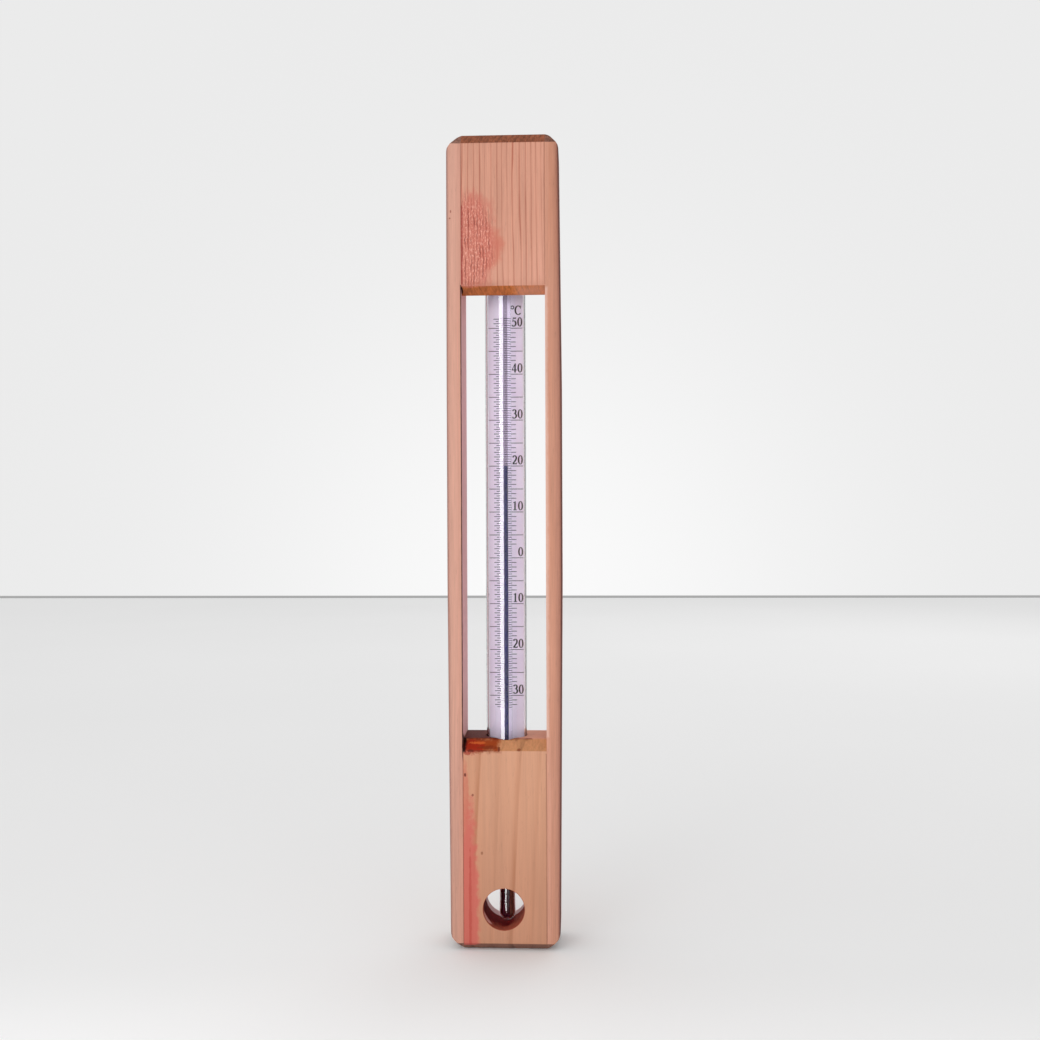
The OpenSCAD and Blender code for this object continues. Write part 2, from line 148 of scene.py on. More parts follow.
# %% Cut a shape out
def cut_out(piece, cutter):
    """Takes the cutter's shape out of the piece, and throws the cutter away."""
    pick_up(piece)
    bpy.ops.object.modifier_add(type="BOOLEAN")
    cut = piece.modifiers[-1]
    cut.operation = "DIFFERENCE"
    cut.solver = "EXACT"
    cut.object = cutter
    bpy.ops.object.modifier_apply(modifier=cut.name)
    bpy.data.objects.remove(cutter)


def drill_bit(radius, start, end, tip_radius=None, sides=96):
    """A round cutter between two points, straight or tapered."""
    deselect_all()
    line = Vector(end) - Vector(start)
    bpy.ops.mesh.primitive_cone_add(
        vertices=sides,
        radius1=radius,
        radius2=radius if tip_radius is None else tip_radius,
        depth=line.length,
        location=(Vector(start) + Vector(end)) / 2,
        rotation=line.to_track_quat("Z", "Y").to_euler(),
    )
    return settle(bpy.context.active_object, "cutter")


# %% Round some edges
SHARP = math.radians(25)


def round_edges(piece, chosen, width, segments=3):
    """Bevels the sharp edges whose middle in mm and direction are chosen. The rest stay as they are."""
    pick_up(piece)
    bpy.ops.object.mode_set(mode="EDIT")
    bpy.ops.mesh.select_mode(type="EDGE")
    bpy.ops.mesh.select_all(action="DESELECT")
    bpy.ops.mesh.edges_select_sharp(sharpness=SHARP)
    bpy.ops.object.mode_set(mode="OBJECT")
    mesh = piece.data
    picked = []
    for edge in mesh.edges:
        one, other = (mesh.vertices[i].co for i in edge.vertices)
        if edge.select and chosen((one + other) / 2 / MM, (other - one).normalized()):
            picked.append(edge.index)
    bpy.ops.object.mode_set(mode="EDIT")
    bpy.ops.mesh.select_all(action="DESELECT")
    bpy.ops.object.mode_set(mode="OBJECT")
    for index in picked:
        mesh.edges[index].select = True
    bpy.ops.object.mode_set(mode="EDIT")
    bpy.ops.mesh.bevel(offset=width * MM, segments=segments, affect="EDGES", clamp_overlap=True)
    bpy.ops.object.mode_set(mode="OBJECT")
    print(piece.name, "rounded edges:", len(picked), "faces:", len(mesh.polygons))


def sand_smooth(piece):
    """Smooth shading over the rounds, with the broad faces kept flat."""
    pick_up(piece)
    bpy.ops.object.shade_smooth_by_angle(angle=SHARP)
    bpy.ops.object.modifier_add(type="WEIGHTED_NORMAL")
    piece.modifiers[-1].keep_sharp = True
    bpy.ops.object.modifier_apply(modifier=piece.modifiers[-1].name)


# %% [markdown]
# ## Side rails
# The two rails run the full height. On the real case they were planed by hand: the outer sides narrow a
# little towards both ends, the long corners are worn round, and a corner is sawn off each end and rounded. A
# rail starts as a sawn block of the frame's size. Its long corners are rounded while it is still square, and
# then every flat is planed through them, so the curves meet as they do on wood.

# %% Sizes of the case
CASE_TOP = 290
HALF_DEPTH = 10
TOP_SLOPE = 4
FOOT_SLOPE = 2.5
LONG_ROUND = 1.5
CORNER_ROUND = 4.0
ARRIS = 0.2
print("case, high and deep in mm:", CASE_TOP, 2 * HALF_DEPTH)


# %% Slope the ends
def slope_ends(piece):
    """Planes the slopes on the front and back edges of both ends."""
    for side in (-1, 1):
        face = side * HALF_DEPTH
        plane_off(piece, (0, face, CASE_TOP - TOP_SLOPE), (0, side, 1))
        plane_off(piece, (0, face, FOOT_SLOPE), (0, side, -1))


# %% Round a sawn corner
def saw_corner(piece, side, end, corner, cut):
    """Saws a corner off and rounds both ends of the cut.

    corner is where side and end would meet, and cut is the width and height of what goes."""
    x, z = corner
    width, height = cut
    slant = math.atan2(width, height)
    low_bend, high_bend = Vector((x, 0, z - end * height)), Vector((x - side * width, 0, z))
    plane_off(piece, low_bend, (side * height, 0, end * width))
    for bend, start, stop in ((low_bend, 0, slant), (high_bend, slant, math.radians(90))):
        normals = [Vector((side * math.cos(a), 0, end * math.sin(a))) for a in (start, stop)]
        centre = bend - CORNER_ROUND * (normals[0] + normals[1]) / (1 + normals[0].dot(normals[1]))
        for quarter in (1, 2, 3):
            angle = start + (stop - start) * quarter / 4
            tangent = Vector((side * math.cos(angle), 0, end * math.sin(angle)))
            plane_off(piece, centre + CORNER_ROUND * tangent, tangent)


# %% Plane a rail
TAPER_FOOT = 130
TAPER_HEAD = 200
OUTER_X = 18
INNER_X = 15.2
NEAR_END = 130
ALONG = 0.9


def plane_rail(name, node, side, foot_x, head_x, foot_cut, head_cut):
    """A rail from the frame's box, tapered to foot_x and head_x, with its two outer corners sawn off."""
    low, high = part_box(node)
    rail = saw_block(name, low, high)
    wide = (high if side > 0 else low).x / MM
    foot_z, head_z = foot_cut[1], CASE_TOP - head_cut[1]
    for point_x, point_z, taper_z in ((foot_x, foot_z, TAPER_FOOT), (head_x, head_z, TAPER_HEAD)):
        run = abs(taper_z - point_z)
        lean = (abs(wide) - abs(point_x)) / run
        plane_off(rail, (wide, 0, taper_z), (side, 0, lean if point_z > taper_z else -lean))
    round_edges(rail, lambda middle, way: abs(way.z) > ALONG and abs(middle.x) > OUTER_X, LONG_ROUND, 5)
    saw_corner(rail, side, -1, (foot_x, 0), foot_cut)
    saw_corner(rail, side, 1, (head_x, CASE_TOP), head_cut)
    slope_ends(rail)
    round_edges(rail, lambda middle, way: abs(way.z) > ALONG and abs(middle.x) < INNER_X, ARRIS, 2)
    round_edges(
        rail,
        lambda middle, way: abs(way.x) > ALONG and abs(middle.z - CASE_TOP / 2) > NEAR_END,
        ARRIS,
        2,
    )
    sand_smooth(rail)
    return rail


# %% Both rails
left_rail = plane_rail("left_rail_planed", "left_rail", -1, -19.7, -20.25, (4.6, 5), (4.6, 5.8))
right_rail = plane_rail("right_rail_planed", "right_rail", 1, 19.4, 19.6, (4.4, 4.8), (3.8, 5.2))
for rail in (left_rail, right_rail):
    print(rail.name, "is wide in mm:", round(rail.dimensions.x / MM, 2))

# %% [markdown]
# ## Blocks
# The upper block closes the window and hides the tube's dome in a blind bore. The lower one holds the tube's
# narrow end, and has a sloped sill and the hole across the bulb. The window's head slopes down to a lip in
# front of the glass, and rises behind it. Both blocks are cut as a joiner would cut them: sawn, sloped,
# eased, and then drilled, because a drill leaves its rims crisp. Only the back rim of the hole is wider,
# where the drill broke out.

# %% Sizes of the bores
WINDOW_FOOT = box_mm("bottom_block")[1].z
HEAD_LIP = box_mm("top_block")[0].z
TUBE_AXIS_Y = 1.0
BORE_RADIUS = 7.6
BORE_END = box_mm("top_pad")[1].z
RING_SEAT = box_mm("shoulder_ring")[0].z
STEM_BORE = 3.4
SILL_SLOPE = 4
HEAD_SLOPE = 3
HEAD_RISE = math.radians(12)
HOLE_RADIUS = 7.4
HOLE_X = -0.7
HOLE_Z = 14.6
HOLE_RIM = 0.8
PAST = 1
END_ARRIS = 0.35


def tube_axis(z):
    return Vector((0, TUBE_AXIS_Y, z)) * MM


print("window from and to, in mm:", round(WINDOW_FOOT, 2), round(HEAD_LIP, 2))


# %% Upper block
top_block = saw_block("top_block_planed", *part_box("top_block"))
slope_ends(top_block)
plane_off(top_block, (0, -HALF_DEPTH + HEAD_SLOPE, HEAD_LIP), (0, -1, -1))
plane_off(top_block, (0, -HALF_DEPTH + HEAD_SLOPE, HEAD_LIP), (0, math.sin(HEAD_RISE), -math.cos(HEAD_RISE)))
round_edges(top_block, lambda middle, way: abs(way.x) > ALONG, END_ARRIS, 2)
cut_out(top_block, drill_bit(BORE_RADIUS * MM, tube_axis(HEAD_LIP - PAST), tube_axis(BORE_END)))
sand_smooth(top_block)
print("bore in the upper block, up to mm:", round(BORE_END, 2))

# %% Lower block
bottom_block = saw_block("bottom_block_planed", *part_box("bottom_block"))
slope_ends(bottom_block)
plane_off(bottom_block, (0, -HALF_DEPTH, WINDOW_FOOT - SILL_SLOPE), (0, -1, 1))
round_edges(bottom_block, lambda middle, way: abs(way.x) > ALONG, END_ARRIS, 2)
cut_out(bottom_block, drill_bit(BORE_RADIUS * MM, tube_axis(RING_SEAT), tube_axis(WINDOW_FOOT + PAST)))
cut_out(bottom_block, drill_bit(STEM_BORE * MM, tube_axis(HOLE_Z), tube_axis(RING_SEAT + PAST)))
hole_front = Vector((HOLE_X, -HALF_DEPTH - PAST, HOLE_Z)) * MM
hole_back = Vector((HOLE_X, HALF_DEPTH + PAST, HOLE_Z)) * MM
rim_start = Vector((HOLE_X, HALF_DEPTH - HOLE_RIM, HOLE_Z)) * MM
cut_out(bottom_block, drill_bit(HOLE_RADIUS * MM, hole_front, hole_back))
cut_out(
    bottom_block,
    drill_bit(HOLE_RADIUS * MM, rim_start, hole_back, (HOLE_RADIUS + HOLE_RIM + PAST) * MM),
)
sand_smooth(bottom_block)
print("hole across the bulb, wide in mm:", 2 * HOLE_RADIUS)

# %% [markdown]
# ## Turning glass
# Lamp-blown glass is round about its axis, so it is drawn as half a section and spun. One point is placed
# and extruded along the section, and the spin sweeps it round. Sheath, rod and bulb are each one closed
# skin, inside and outside together, because light has to enter and leave a wall of real thickness.

# %% Place the first point
def first_point(name, place):
    """A mesh with one point, from a tiny plane merged at its middle, left open in edit mode."""
    deselect_all()
    bpy.ops.mesh.primitive_plane_add(size=MM, location=place)
    piece = settle(bpy.context.active_object, name)
    bpy.ops.object.mode_set(mode="EDIT")
    bpy.ops.mesh.select_mode(type="VERT")
    bpy.ops.mesh.select_all(action="SELECT")
    bpy.ops.mesh.merge(type="CENTER")
    return piece


# %% Spin a section
ROUND_SHADE = math.radians(35)


def spin_section(name, section, axis_y, steps=96):
    """Spins a section of radius and height points, in mm, round an upright axis."""
    (radius, z), rest = section[0], section[1:]
    piece = first_point(name, Vector((radius, axis_y, z)) * MM)
    for next_radius, next_z in rest:
        move = Vector((next_radius - radius, 0, next_z - z)) * MM
        bpy.ops.mesh.extrude_vertices_move(TRANSFORM_OT_translate={"value": move})
        radius, z = next_radius, next_z
    bpy.ops.mesh.select_all(action="SELECT")
    bpy.ops.mesh.spin(steps=steps, angle=2 * math.pi, center=(0, axis_y * MM, 0), axis=(0, 0, 1))
    bpy.ops.mesh.select_all(action="SELECT")
    bpy.ops.mesh.remove_doubles(threshold=0.002 * MM)
    bpy.ops.mesh.normals_make_consistent(inside=False)
    bpy.ops.object.mode_set(mode="OBJECT")
    bpy.ops.object.shade_smooth_by_angle(angle=ROUND_SHADE)
    print(name, "section points:", len(section), "faces:", len(piece.data.polygons))
    return piece


def arc(radius, centre_z, start, end, steps, centre_radius=0.0):
    """Points of a round corner, from one angle to another in degrees."""
    points = []
    for i in range(steps + 1):
        angle = math.radians(start + (end - start) * i / steps)
        points.append((centre_radius + radius * math.cos(angle), centre_z + radius * math.sin(angle)))
    return [(0.0 if abs(r) < 1e-9 else r, z) for r, z in points]


# %% Sheath
sheath_low, sheath_high = box_mm("sheath")
SHEATH_OUT = sheath_high.x
SHEATH_IN = SHEATH_OUT - 0.5
COLLAR_IN = 3.15
COLLAR_OUT = 3.65
DOME_Z = sheath_high.z - SHEATH_OUT
COLLAR_FOOT = sheath_low.z
COLLAR_TOP = COLLAR_FOOT + 3
SHOULDER_TOP = COLLAR_TOP + 7
tube_rings = [SHOULDER_TOP + (DOME_Z - SHOULDER_TOP) * i / 5 for i in range(5)]
sheath_section = (
    arc(SHEATH_IN, DOME_Z, 90, 0, 16)
    + [(SHEATH_IN, z) for z in reversed(tube_rings)]
    + [(COLLAR_IN, COLLAR_TOP), (COLLAR_IN, COLLAR_FOOT), (COLLAR_OUT, COLLAR_FOOT), (COLLAR_OUT, COLLAR_TOP)]
    + [(SHEATH_OUT, z) for z in tube_rings]
    + arc(SHEATH_OUT, DOME_Z, 0, 90, 16)
)
sheath = spin_section("sheath_blown", sheath_section, TUBE_AXIS_Y, steps=128)

# %% Capillary rod
ROD_RADIUS = 2.1
ROD_ROUND = 0.9
BORE = 0.5
CHAMBER = 1.1
rod_low, rod_high = box_mm("capillary")
chamber_top = rod_high.z - 2
chamber_foot = chamber_top - 5
rod_rings = [rod_low.z + (chamber_foot - rod_low.z) * i / 4 for i in range(5)]
rod_section = (
    arc(CHAMBER, chamber_top - CHAMBER, 90, 0, 6)
    + [(CHAMBER, chamber_foot + 1.4), (0.95, chamber_foot + 0.7), (0.7, chamber_foot + 0.25)]
    + [(BORE, z) for z in reversed(rod_rings)]
    + [(ROD_RADIUS, z) for z in rod_rings]
    + arc(ROD_ROUND, rod_high.z - ROD_ROUND, 0, 90, 6, centre_radius=ROD_RADIUS - ROD_ROUND)
    + [(0.0, rod_high.z)]
)
rod = spin_section("capillary_drawn", rod_section, 0.0)

# %% Bulb and stem
BULB_RADIUS = 2.95
BULB_Z = 10.6
HOLLOW_RADIUS = 2.35
NECK_ROUND = 1.6
STEM_RING = 30
LIQUID_FOOT = box_mm("bulb_liquid")[1].z
STEM_TOP = box_mm("bulb")[1].z
stem_points = [(BULB_RADIUS, STEM_RING), (BULB_RADIUS, STEM_TOP), (0, STEM_TOP)]
bulb_section = arc(BULB_RADIUS, BULB_Z, -90, 0, 12) + stem_points
hollow_section = (
    arc(HOLLOW_RADIUS, BULB_Z, -90, 0, 12)
    + arc(NECK_ROUND, LIQUID_FOOT - NECK_ROUND, 0, 90, 6, centre_radius=HOLLOW_RADIUS - NECK_ROUND)
    + [(0.0, LIQUID_FOOT)]
)
bulb = spin_section("bulb_blown", bulb_section, TUBE_AXIS_Y)
cut_out(bulb, spin_section("hollow", hollow_section, TUBE_AXIS_Y))
bore_foot = Vector((0, 0, LIQUID_FOOT - 1)) * MM
bore_head = Vector((0, 0, STEM_TOP + PAST)) * MM
cut_out(bulb, drill_bit(BORE * MM, bore_foot, bore_head, sides=32))
pick_up(bulb)
bpy.ops.object.shade_smooth_by_angle(angle=ROUND_SHADE)

# %% [markdown]
# ## The blue spirit
# The liquid is three pieces. A rounded body fills the bulb, a thread fills the bore, and the thread's head is
# hollowed where the liquid climbs the glass. The head slides with the reading, and the thread has to stretch
# after it.

# %% Liquid in the bulb
FILM = 0.03
SPIRIT_ROUND = 1.5
SPIRIT_RADIUS = HOLLOW_RADIUS - FILM
bulb_liquid_section = (
    arc(SPIRIT_RADIUS, BULB_Z, -90, 0, 12)
    + arc(SPIRIT_ROUND, LIQUID_FOOT - SPIRIT_ROUND, 0, 90, 6, centre_radius=SPIRIT_RADIUS - SPIRIT_ROUND)
    + [(0.0, LIQUID_FOOT)]
)
bulb_liquid = spin_section("bulb_spirit", bulb_liquid_section, TUBE_AXIS_Y)

# %% Thread and head
THREAD_RADIUS = BORE - FILM
thread_top = box_mm("liquid_column")[1].z
head_top = box_mm("meniscus")[1].z
DISH = 1.25 * THREAD_RADIUS
dish_centre = head_top + math.sqrt(DISH ** 2 - THREAD_RADIUS ** 2)
dish_edge = math.degrees(math.acos(THREAD_RADIUS / DISH))
thread_rings = [(THREAD_RADIUS, LIQUID_FOOT + (thread_top - LIQUID_FOOT) * i / 12) for i in range(1, 13)]
thread_section = [(0.0, LIQUID_FOOT), (0.4, LIQUID_FOOT), (THREAD_RADIUS, LIQUID_FOOT + 0.2)] + thread_rings
thread = spin_section("spirit_thread", thread_section + [(0.0, thread_top)], 0.0, steps=32)
head_section = [(0.0, thread_top), (THREAD_RADIUS, thread_top)] + arc(DISH, dish_centre, -dish_edge, -90, 8)
head = spin_section("thread_head", head_section, 0.0, steps=32)
print("reading at z in mm:", round(head_top, 2))

# %% [markdown]
# ## Opal plate
# The scale is fired on a strip of milk-white opal glass. Two notches at each end take the tie wires. It is
# sawn like a block, notched, and its edges are only just eased, as cut glass is.

# %% Cut the plate
NOTCH_DEPTH = 0.9
NOTCH_HALF = 0.6
PLATE_ARRIS = 0.06
low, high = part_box("scale_plate")
plate = saw_block("opal_plate", low, high)
for tie_name in ("upper_tie", "lower_tie"):
    tie_low, tie_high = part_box(tie_name)
    tie_z = (tie_low.z + tie_high.z) / 2
    for side_x, inward in ((low.x, 1), (high.x, -1)):
        inner_x = side_x + inward * NOTCH_DEPTH * MM
        corner = Vector((min(side_x - inward * MM, inner_x), low.y - MM, tie_z - NOTCH_HALF * MM))
        opposite = Vector((max(side_x - inward * MM, inner_x), high.y + MM, tie_z + NOTCH_HALF * MM))
        cut_out(plate, saw_block("notch_cutter", corner, opposite))
round_edges(plate, lambda middle, way: True, PLATE_ARRIS, 2)
sand_smooth(plate)
print("plate, thick in mm:", round((high - low).y / MM, 2))

# %% [markdown]
# ## Materials: the parts they share
# A finish here is a small network of nodes, built in code. The helpers below each add one node and give back
# its output, so that a recipe reads from top to bottom. All patterns read the object's own coordinates, in
# metres, so that they stay on the piece when it moves. A cloud's scale is how many lumps it has to a metre.

# %% Node helpers
def feed(tree, socket, value):
    """Feeds a socket from another node's output, or sets it to a plain value."""
    if isinstance(value, bpy.types.NodeSocket):
        tree.links.new(value, socket)
    else:
        socket.default_value = value


def maths(tree, operation, first, second=0.0, third=0.0):
    node = tree.nodes.new("ShaderNodeMath")
    node.operation = operation
    for socket, value in zip(node.inputs, (first, second, third)):
        feed(tree, socket, value)
    return node.outputs[0]


def product(tree, first, *others):
    for other in others:
        first = maths(tree, "MULTIPLY", first, other)
    return first


def total(tree, first, *others):
    for other in others:
        first = maths(tree, "ADD", first, other)
    return first


def sum_of_squares(tree, one, other):
    return total(tree, product(tree, one, one), product(tree, other, other))


# %% Node helpers for vectors
def vector_maths(tree, operation, first, second=(0.0, 0.0, 0.0)):
    node = tree.nodes.new("ShaderNodeVectorMath")
    node.operation = operation
    feed(tree, node.inputs[0], first)
    feed(tree, node.inputs[1], second)
    return node.outputs["Value"] if operation == "LENGTH" else node.outputs["Vector"]


def squeezed(tree, where, scale):
    """Coordinates scaled along each axis. A pattern on them is drawn out where the scale is small."""
    return vector_maths(tree, "MULTIPLY", where, scale)


def split(tree, vector):
    node = tree.nodes.new("ShaderNodeSeparateXYZ")
    feed(tree, node.inputs[0], vector)
    return node.outputs


# %% Node helpers for colours
def mix_colours(tree, share, under, over, how="MIX"):
    node = tree.nodes.new("ShaderNodeMix")
    node.data_type = "RGBA"
    node.blend_type = how
    feed(tree, node.inputs[0], share)
    feed(tree, node.inputs[6], under)
    feed(tree, node.inputs[7], over)
    return node.outputs[2]


def shaded(tree, colour, share):
    """A colour made lighter or darker by a share."""
    grey = tree.nodes.new("ShaderNodeCombineXYZ")
    for socket in grey.inputs:
        feed(tree, socket, share)
    return mix_colours(tree, 1.0, colour, grey.outputs[0], "MULTIPLY")


# %% Ramps and clouds
def ramp(tree, value, low, high, to_low=0.0, to_high=1.0):
    """Smooth step from one level to another between two values."""
    node = tree.nodes.new("ShaderNodeMapRange")
    node.interpolation_type = "SMOOTHSTEP"
    for socket, given in zip(node.inputs, (value, low, high, to_low, to_high)):
        feed(tree, socket, given)
    return node.outputs[0]


def cloud(tree, where, scale, detail=2.0, roughness=0.5):
    node = tree.nodes.new("ShaderNodeTexNoise")
    feed(tree, node.inputs["Vector"], where)
    node.inputs["Scale"].default_value = scale
    node.inputs["Detail"].default_value = detail
    node.inputs["Roughness"].default_value = roughness
    return node.outputs["Fac"]


def either_way(tree, noise, reach):
    """A cloud turned into a shift to either side, half of reach at most."""
    return product(tree, maths(tree, "SUBTRACT", noise, 0.5), reach)


# %% Mix a paint
def paint(red, green, blue):
    """A colour as it would be named on a paint chart, 0 to 255, in the linear values that shaders use."""
    linear = []
    for level in (red, green, blue):
        share = level / 255
        linear.append(share / 12.92 if share <= 0.04045 else ((share + 0.055) / 1.055) ** 2.4)
    return (*linear, 1.0)


print("middle grey is", round(paint(128, 128, 128)[0], 3), "of white's light")


# %% Start a finish
def new_finish(name):
    """A material with its tree, its shader and its object coordinates."""
    material = bpy.data.materials.new(name)
    material.use_nodes = True
    tree = material.node_tree
    where = tree.nodes.new("ShaderNodeTexCoord")
    return material, tree, tree.nodes["Principled BSDF"], where


def bump(tree, shader, height, strength, distance):
    node = tree.nodes.new("ShaderNodeBump")
    node.inputs["Strength"].default_value = strength
    node.inputs["Distance"].default_value = distance
    feed(tree, node.inputs["Height"], height)
    feed(tree, shader.inputs["Normal"], node.outputs[0])


# %% [markdown]
# ## Softwood
# Softwood shows growth rings: a wide pale band of early wood that darkens into a thin line of late wood, then
# starts again. In space they are rings round the tree's heart, so one pattern of distance from a heart line
# gives straight lines on the faces and matching streaks on the sawn ends. Over it lie fine fibres along the
# grain. The upper block was cut where the rings lie close, the lower one where they lie wide and slanting.

# %% Growth rings
def growth_rings(tree, where, heart, slope, step, wander, start):
    """Share of late wood: rings round a heart line at heart, which moves by slope in x for each unit of z.
    start is the share of each ring at which it begins to darken."""
    x, y, z = split(tree, where)
    lean = product(tree, z, slope)
    ring_x = maths(tree, "SUBTRACT", maths(tree, "SUBTRACT", x, heart[0] * MM), lean)
    ring_y = maths(tree, "SUBTRACT", y, heart[1] * MM)
    distance = maths(tree, "SQRT", sum_of_squares(tree, ring_x, ring_y))
    slow = squeezed(tree, where, (210.0, 90.0, 12.0))
    shift = either_way(tree, cloud(tree, slow, 1.0, 3.0), wander * MM)
    turns = maths(tree, "DIVIDE", total(tree, distance, shift), step * MM)
    along = maths(tree, "FRACT", turns)
    rise = ramp(tree, along, start, 0.9)
    fall = ramp(tree, along, 0.9, 1.0, 1.0, 0.0)
    year = tree.nodes.new("ShaderNodeTexWhiteNoise")
    year.noise_dimensions = "1D"
    feed(tree, year.inputs["W"], maths(tree, "FLOOR", turns))
    vigour = ramp(tree, year.outputs["Value"], 0.0, 1.0, 0.25, 0.85)
    uneven = cloud(tree, squeezed(tree, where, (300.0, 300.0, 30.0)), 1.0)
    fading = ramp(tree, uneven, 0.3, 0.6, 0.5, 1.0)
    band = maths(tree, "POWER", product(tree, rise, fall), 1.5)
    return product(tree, band, vigour, fading)


# %% Fibres
FINE_FIBRE = 1700.0
BROAD_FIBRE = 260.0
FACE_FIBRE = 700.0
PORE = 1500.0


def fibres(tree, where, fineness):
    """Streaks that run far along the grain, from 0 to 1."""
    return cloud(tree, squeezed(tree, where, (1.0, 1.0, 0.03)), fineness, 3.0, 0.6)


# %% Patches
def patch(tree, where, centre, size, ragged=0.4, grain=350.0):
    """1 inside a ragged oval and 0 outside it, with its centre and half sizes in mm."""
    offset = vector_maths(tree, "SUBTRACT", where, tuple(c * MM for c in centre))
    share = vector_maths(tree, "MULTIPLY", offset, tuple(1 / (s * MM) for s in size))
    reach = vector_maths(tree, "LENGTH", share)
    torn = either_way(tree, cloud(tree, where, grain, 4.0, 0.7), ragged * 2)
    return ramp(tree, total(tree, reach, torn), 0.7, 1.15, 1.0, 0.0)


def panel(tree, where, low, high, ragged=0.3, soft=0.2, grain=300.0):
    """1 inside a box with ragged edges and 0 outside it. Corners, raggedness and softness are in mm."""
    middle = [(a + b) / 2 * MM for a, b in zip(low, high)]
    half = [(b - a) / 2 * MM for a, b in zip(low, high)]
    offset = vector_maths(tree, "ABSOLUTE", vector_maths(tree, "SUBTRACT", where, middle))
    x, y, z = split(tree, vector_maths(tree, "SUBTRACT", offset, half))
    outside = maths(tree, "MAXIMUM", maths(tree, "MAXIMUM", x, y), z)
    torn = either_way(tree, cloud(tree, where, grain, 4.0, 0.7), ragged * 4 * MM)
    return ramp(tree, total(tree, outside, torn), -soft * MM, soft * MM, 1.0, 0.0)


# %% [markdown]
# ## A recipe for wood
# Each of the four wooden pieces follows the same recipe with its own colours: rings over pale wood, fibres
# over both, short dark dashes where a plane has opened a pore, darker sawn ends, then whatever stains,
# painted shade and painted light this piece has. The gloss varies with the fibres, because oil sinks in
# unevenly, and a shallow bump follows them too. The wood has been handled dry, so it mirrors very little.

# %% Planed wood
def planed_wood(name, pale, late, end_top, end_under, rings, speckled=0.34, streaks=1.0, marks_and_painted_light=()):
    """Wood of a piece. rings are growth_rings' settings; each mark in the list is a function that repaints
    the colour, with dye, dirt and wear, and with painted shade and light. speckled is how much the sawn ends
    vary, and streaks how strongly the fibres show."""
    material, tree, shader, coordinates = new_finish(name)
    shader.inputs["Specular IOR Level"].default_value = 0.1
    where = coordinates.outputs["Object"]
    late_wood = growth_rings(tree, where, *rings)
    fine = fibres(tree, where, FINE_FIBRE)
    fine_shade = ramp(tree, fine, 0.3, 0.7, 1 - 0.07 * streaks, 1 + 0.05 * streaks)
    broad_shade = ramp(tree, fibres(tree, where, BROAD_FIBRE), 0.35, 0.65, -0.03, 0.06)
    pores = cloud(tree, squeezed(tree, where, (1.0, 1.0, 0.1)), PORE, 4.0, 0.75)
    dashes = ramp(tree, pores, 0.56, 0.7, 0.0, -0.14)
    shade = total(tree, fine_shade, broad_shade, dashes)
    colour = shaded(tree, mix_colours(tree, late_wood, pale, late), shade)
    facing = split(tree, coordinates.outputs["Normal"])[2]
    flecks = cloud(tree, squeezed(tree, where, (1.0, 0.35, 0.35)), PORE, 3.0, 0.7)
    speckle = ramp(tree, flecks, 0.3, 0.7, 1 - speckled, 1 + 0.9 * speckled)
    for side, sawn in ((1.0, end_top), (-1.0, end_under)):
        dark = mix_colours(tree, late_wood, sawn, shaded(tree, sawn, 0.55))
        share = ramp(tree, product(tree, facing, side), 0.4, 0.65)
        colour = mix_colours(tree, share, colour, shaded(tree, dark, speckle))
    gloss = ramp(tree, fine, 0.2, 0.8, 0.58, 0.7)
    for lay in marks_and_painted_light:
        colour, gloss = lay(tree, where, colour, gloss)
    feed(tree, shader.inputs["Base Color"], colour)
    feed(tree, shader.inputs["Roughness"], gloss)
    height = maths(tree, "SUBTRACT", fine, product(tree, late_wood, 0.12))
    bump(tree, shader, height, 0.3, 0.06 * MM)
    print(name, "nodes:", len(tree.nodes))
    return material


# %% Stains of one colour
def painted(tree, share, under, under_gloss, colour, gloss):
    """Lays a colour, and its gloss if it has one, over what is there."""
    out = mix_colours(tree, share, under, colour)
    if gloss is None:
        return out, under_gloss
    drop = product(tree, maths(tree, "SUBTRACT", under_gloss, gloss), share)
    return out, maths(tree, "SUBTRACT", under_gloss, drop)


def stain_and_painted_light(centre, size, colour, strength=1.0, ragged=0.4, gloss=None, grain=350.0):
    """A colour in a ragged oval, for dye, dirt and wear, and for painted shade and highlights.
    A gloss makes it shinier or duller than the wood.
    """
    def lay(tree, where, under, under_gloss):
        share = product(tree, patch(tree, where, centre, size, ragged, grain), strength)
        return painted(tree, share, under, under_gloss, colour, gloss)
    return lay


def board(low, high, colour, strength=1.0, ragged=0.3, soft=0.2, gloss=None, grain=300.0):
    """A colour between two corners, with ragged edges, for dye and dirt, and for painted shade."""
    def lay(tree, where, under, under_gloss):
        share = product(tree, panel(tree, where, low, high, ragged, soft, grain), strength)
        return painted(tree, share, under, under_gloss, colour, gloss)
    return lay


# %% Tint along an axis
def tone(axis, start, end, colour):
    """Tints the wood more and more along an axis, from start to end in mm. White changes nothing."""
    def lay(tree, where, under, under_gloss):
        share = ramp(tree, split(tree, where)[axis], start * MM, end * MM)
        return mix_colours(tree, share, under, colour, "MULTIPLY"), under_gloss
    return lay


# %% [markdown]
# ## Darkened edges and painted light
# The wood is darker where it turns away from the face, at the outer corners, and the right one most. On the
# right rail that dark is painted shade, for the side that the light misses. The dark is only in the front
# corner, so it dies out a few millimetres behind the face. The inner faces along the window are painted
# light: paler and pinkish, as light from behind the case makes them, with faint grain. Both follow the
# direction that the surface faces, which needs no painting by hand.

# %% Tint by direction
def facing_share(tree, direction, start, end):
    """0 to 1 as the surface turns towards a direction, from one cosine to another."""
    normal = tree.nodes.new("ShaderNodeTexCoord").outputs["Normal"]
    x, y, z = split(tree, vector_maths(tree, "MULTIPLY", normal, direction))
    return ramp(tree, total(tree, x, y, z), start, end)


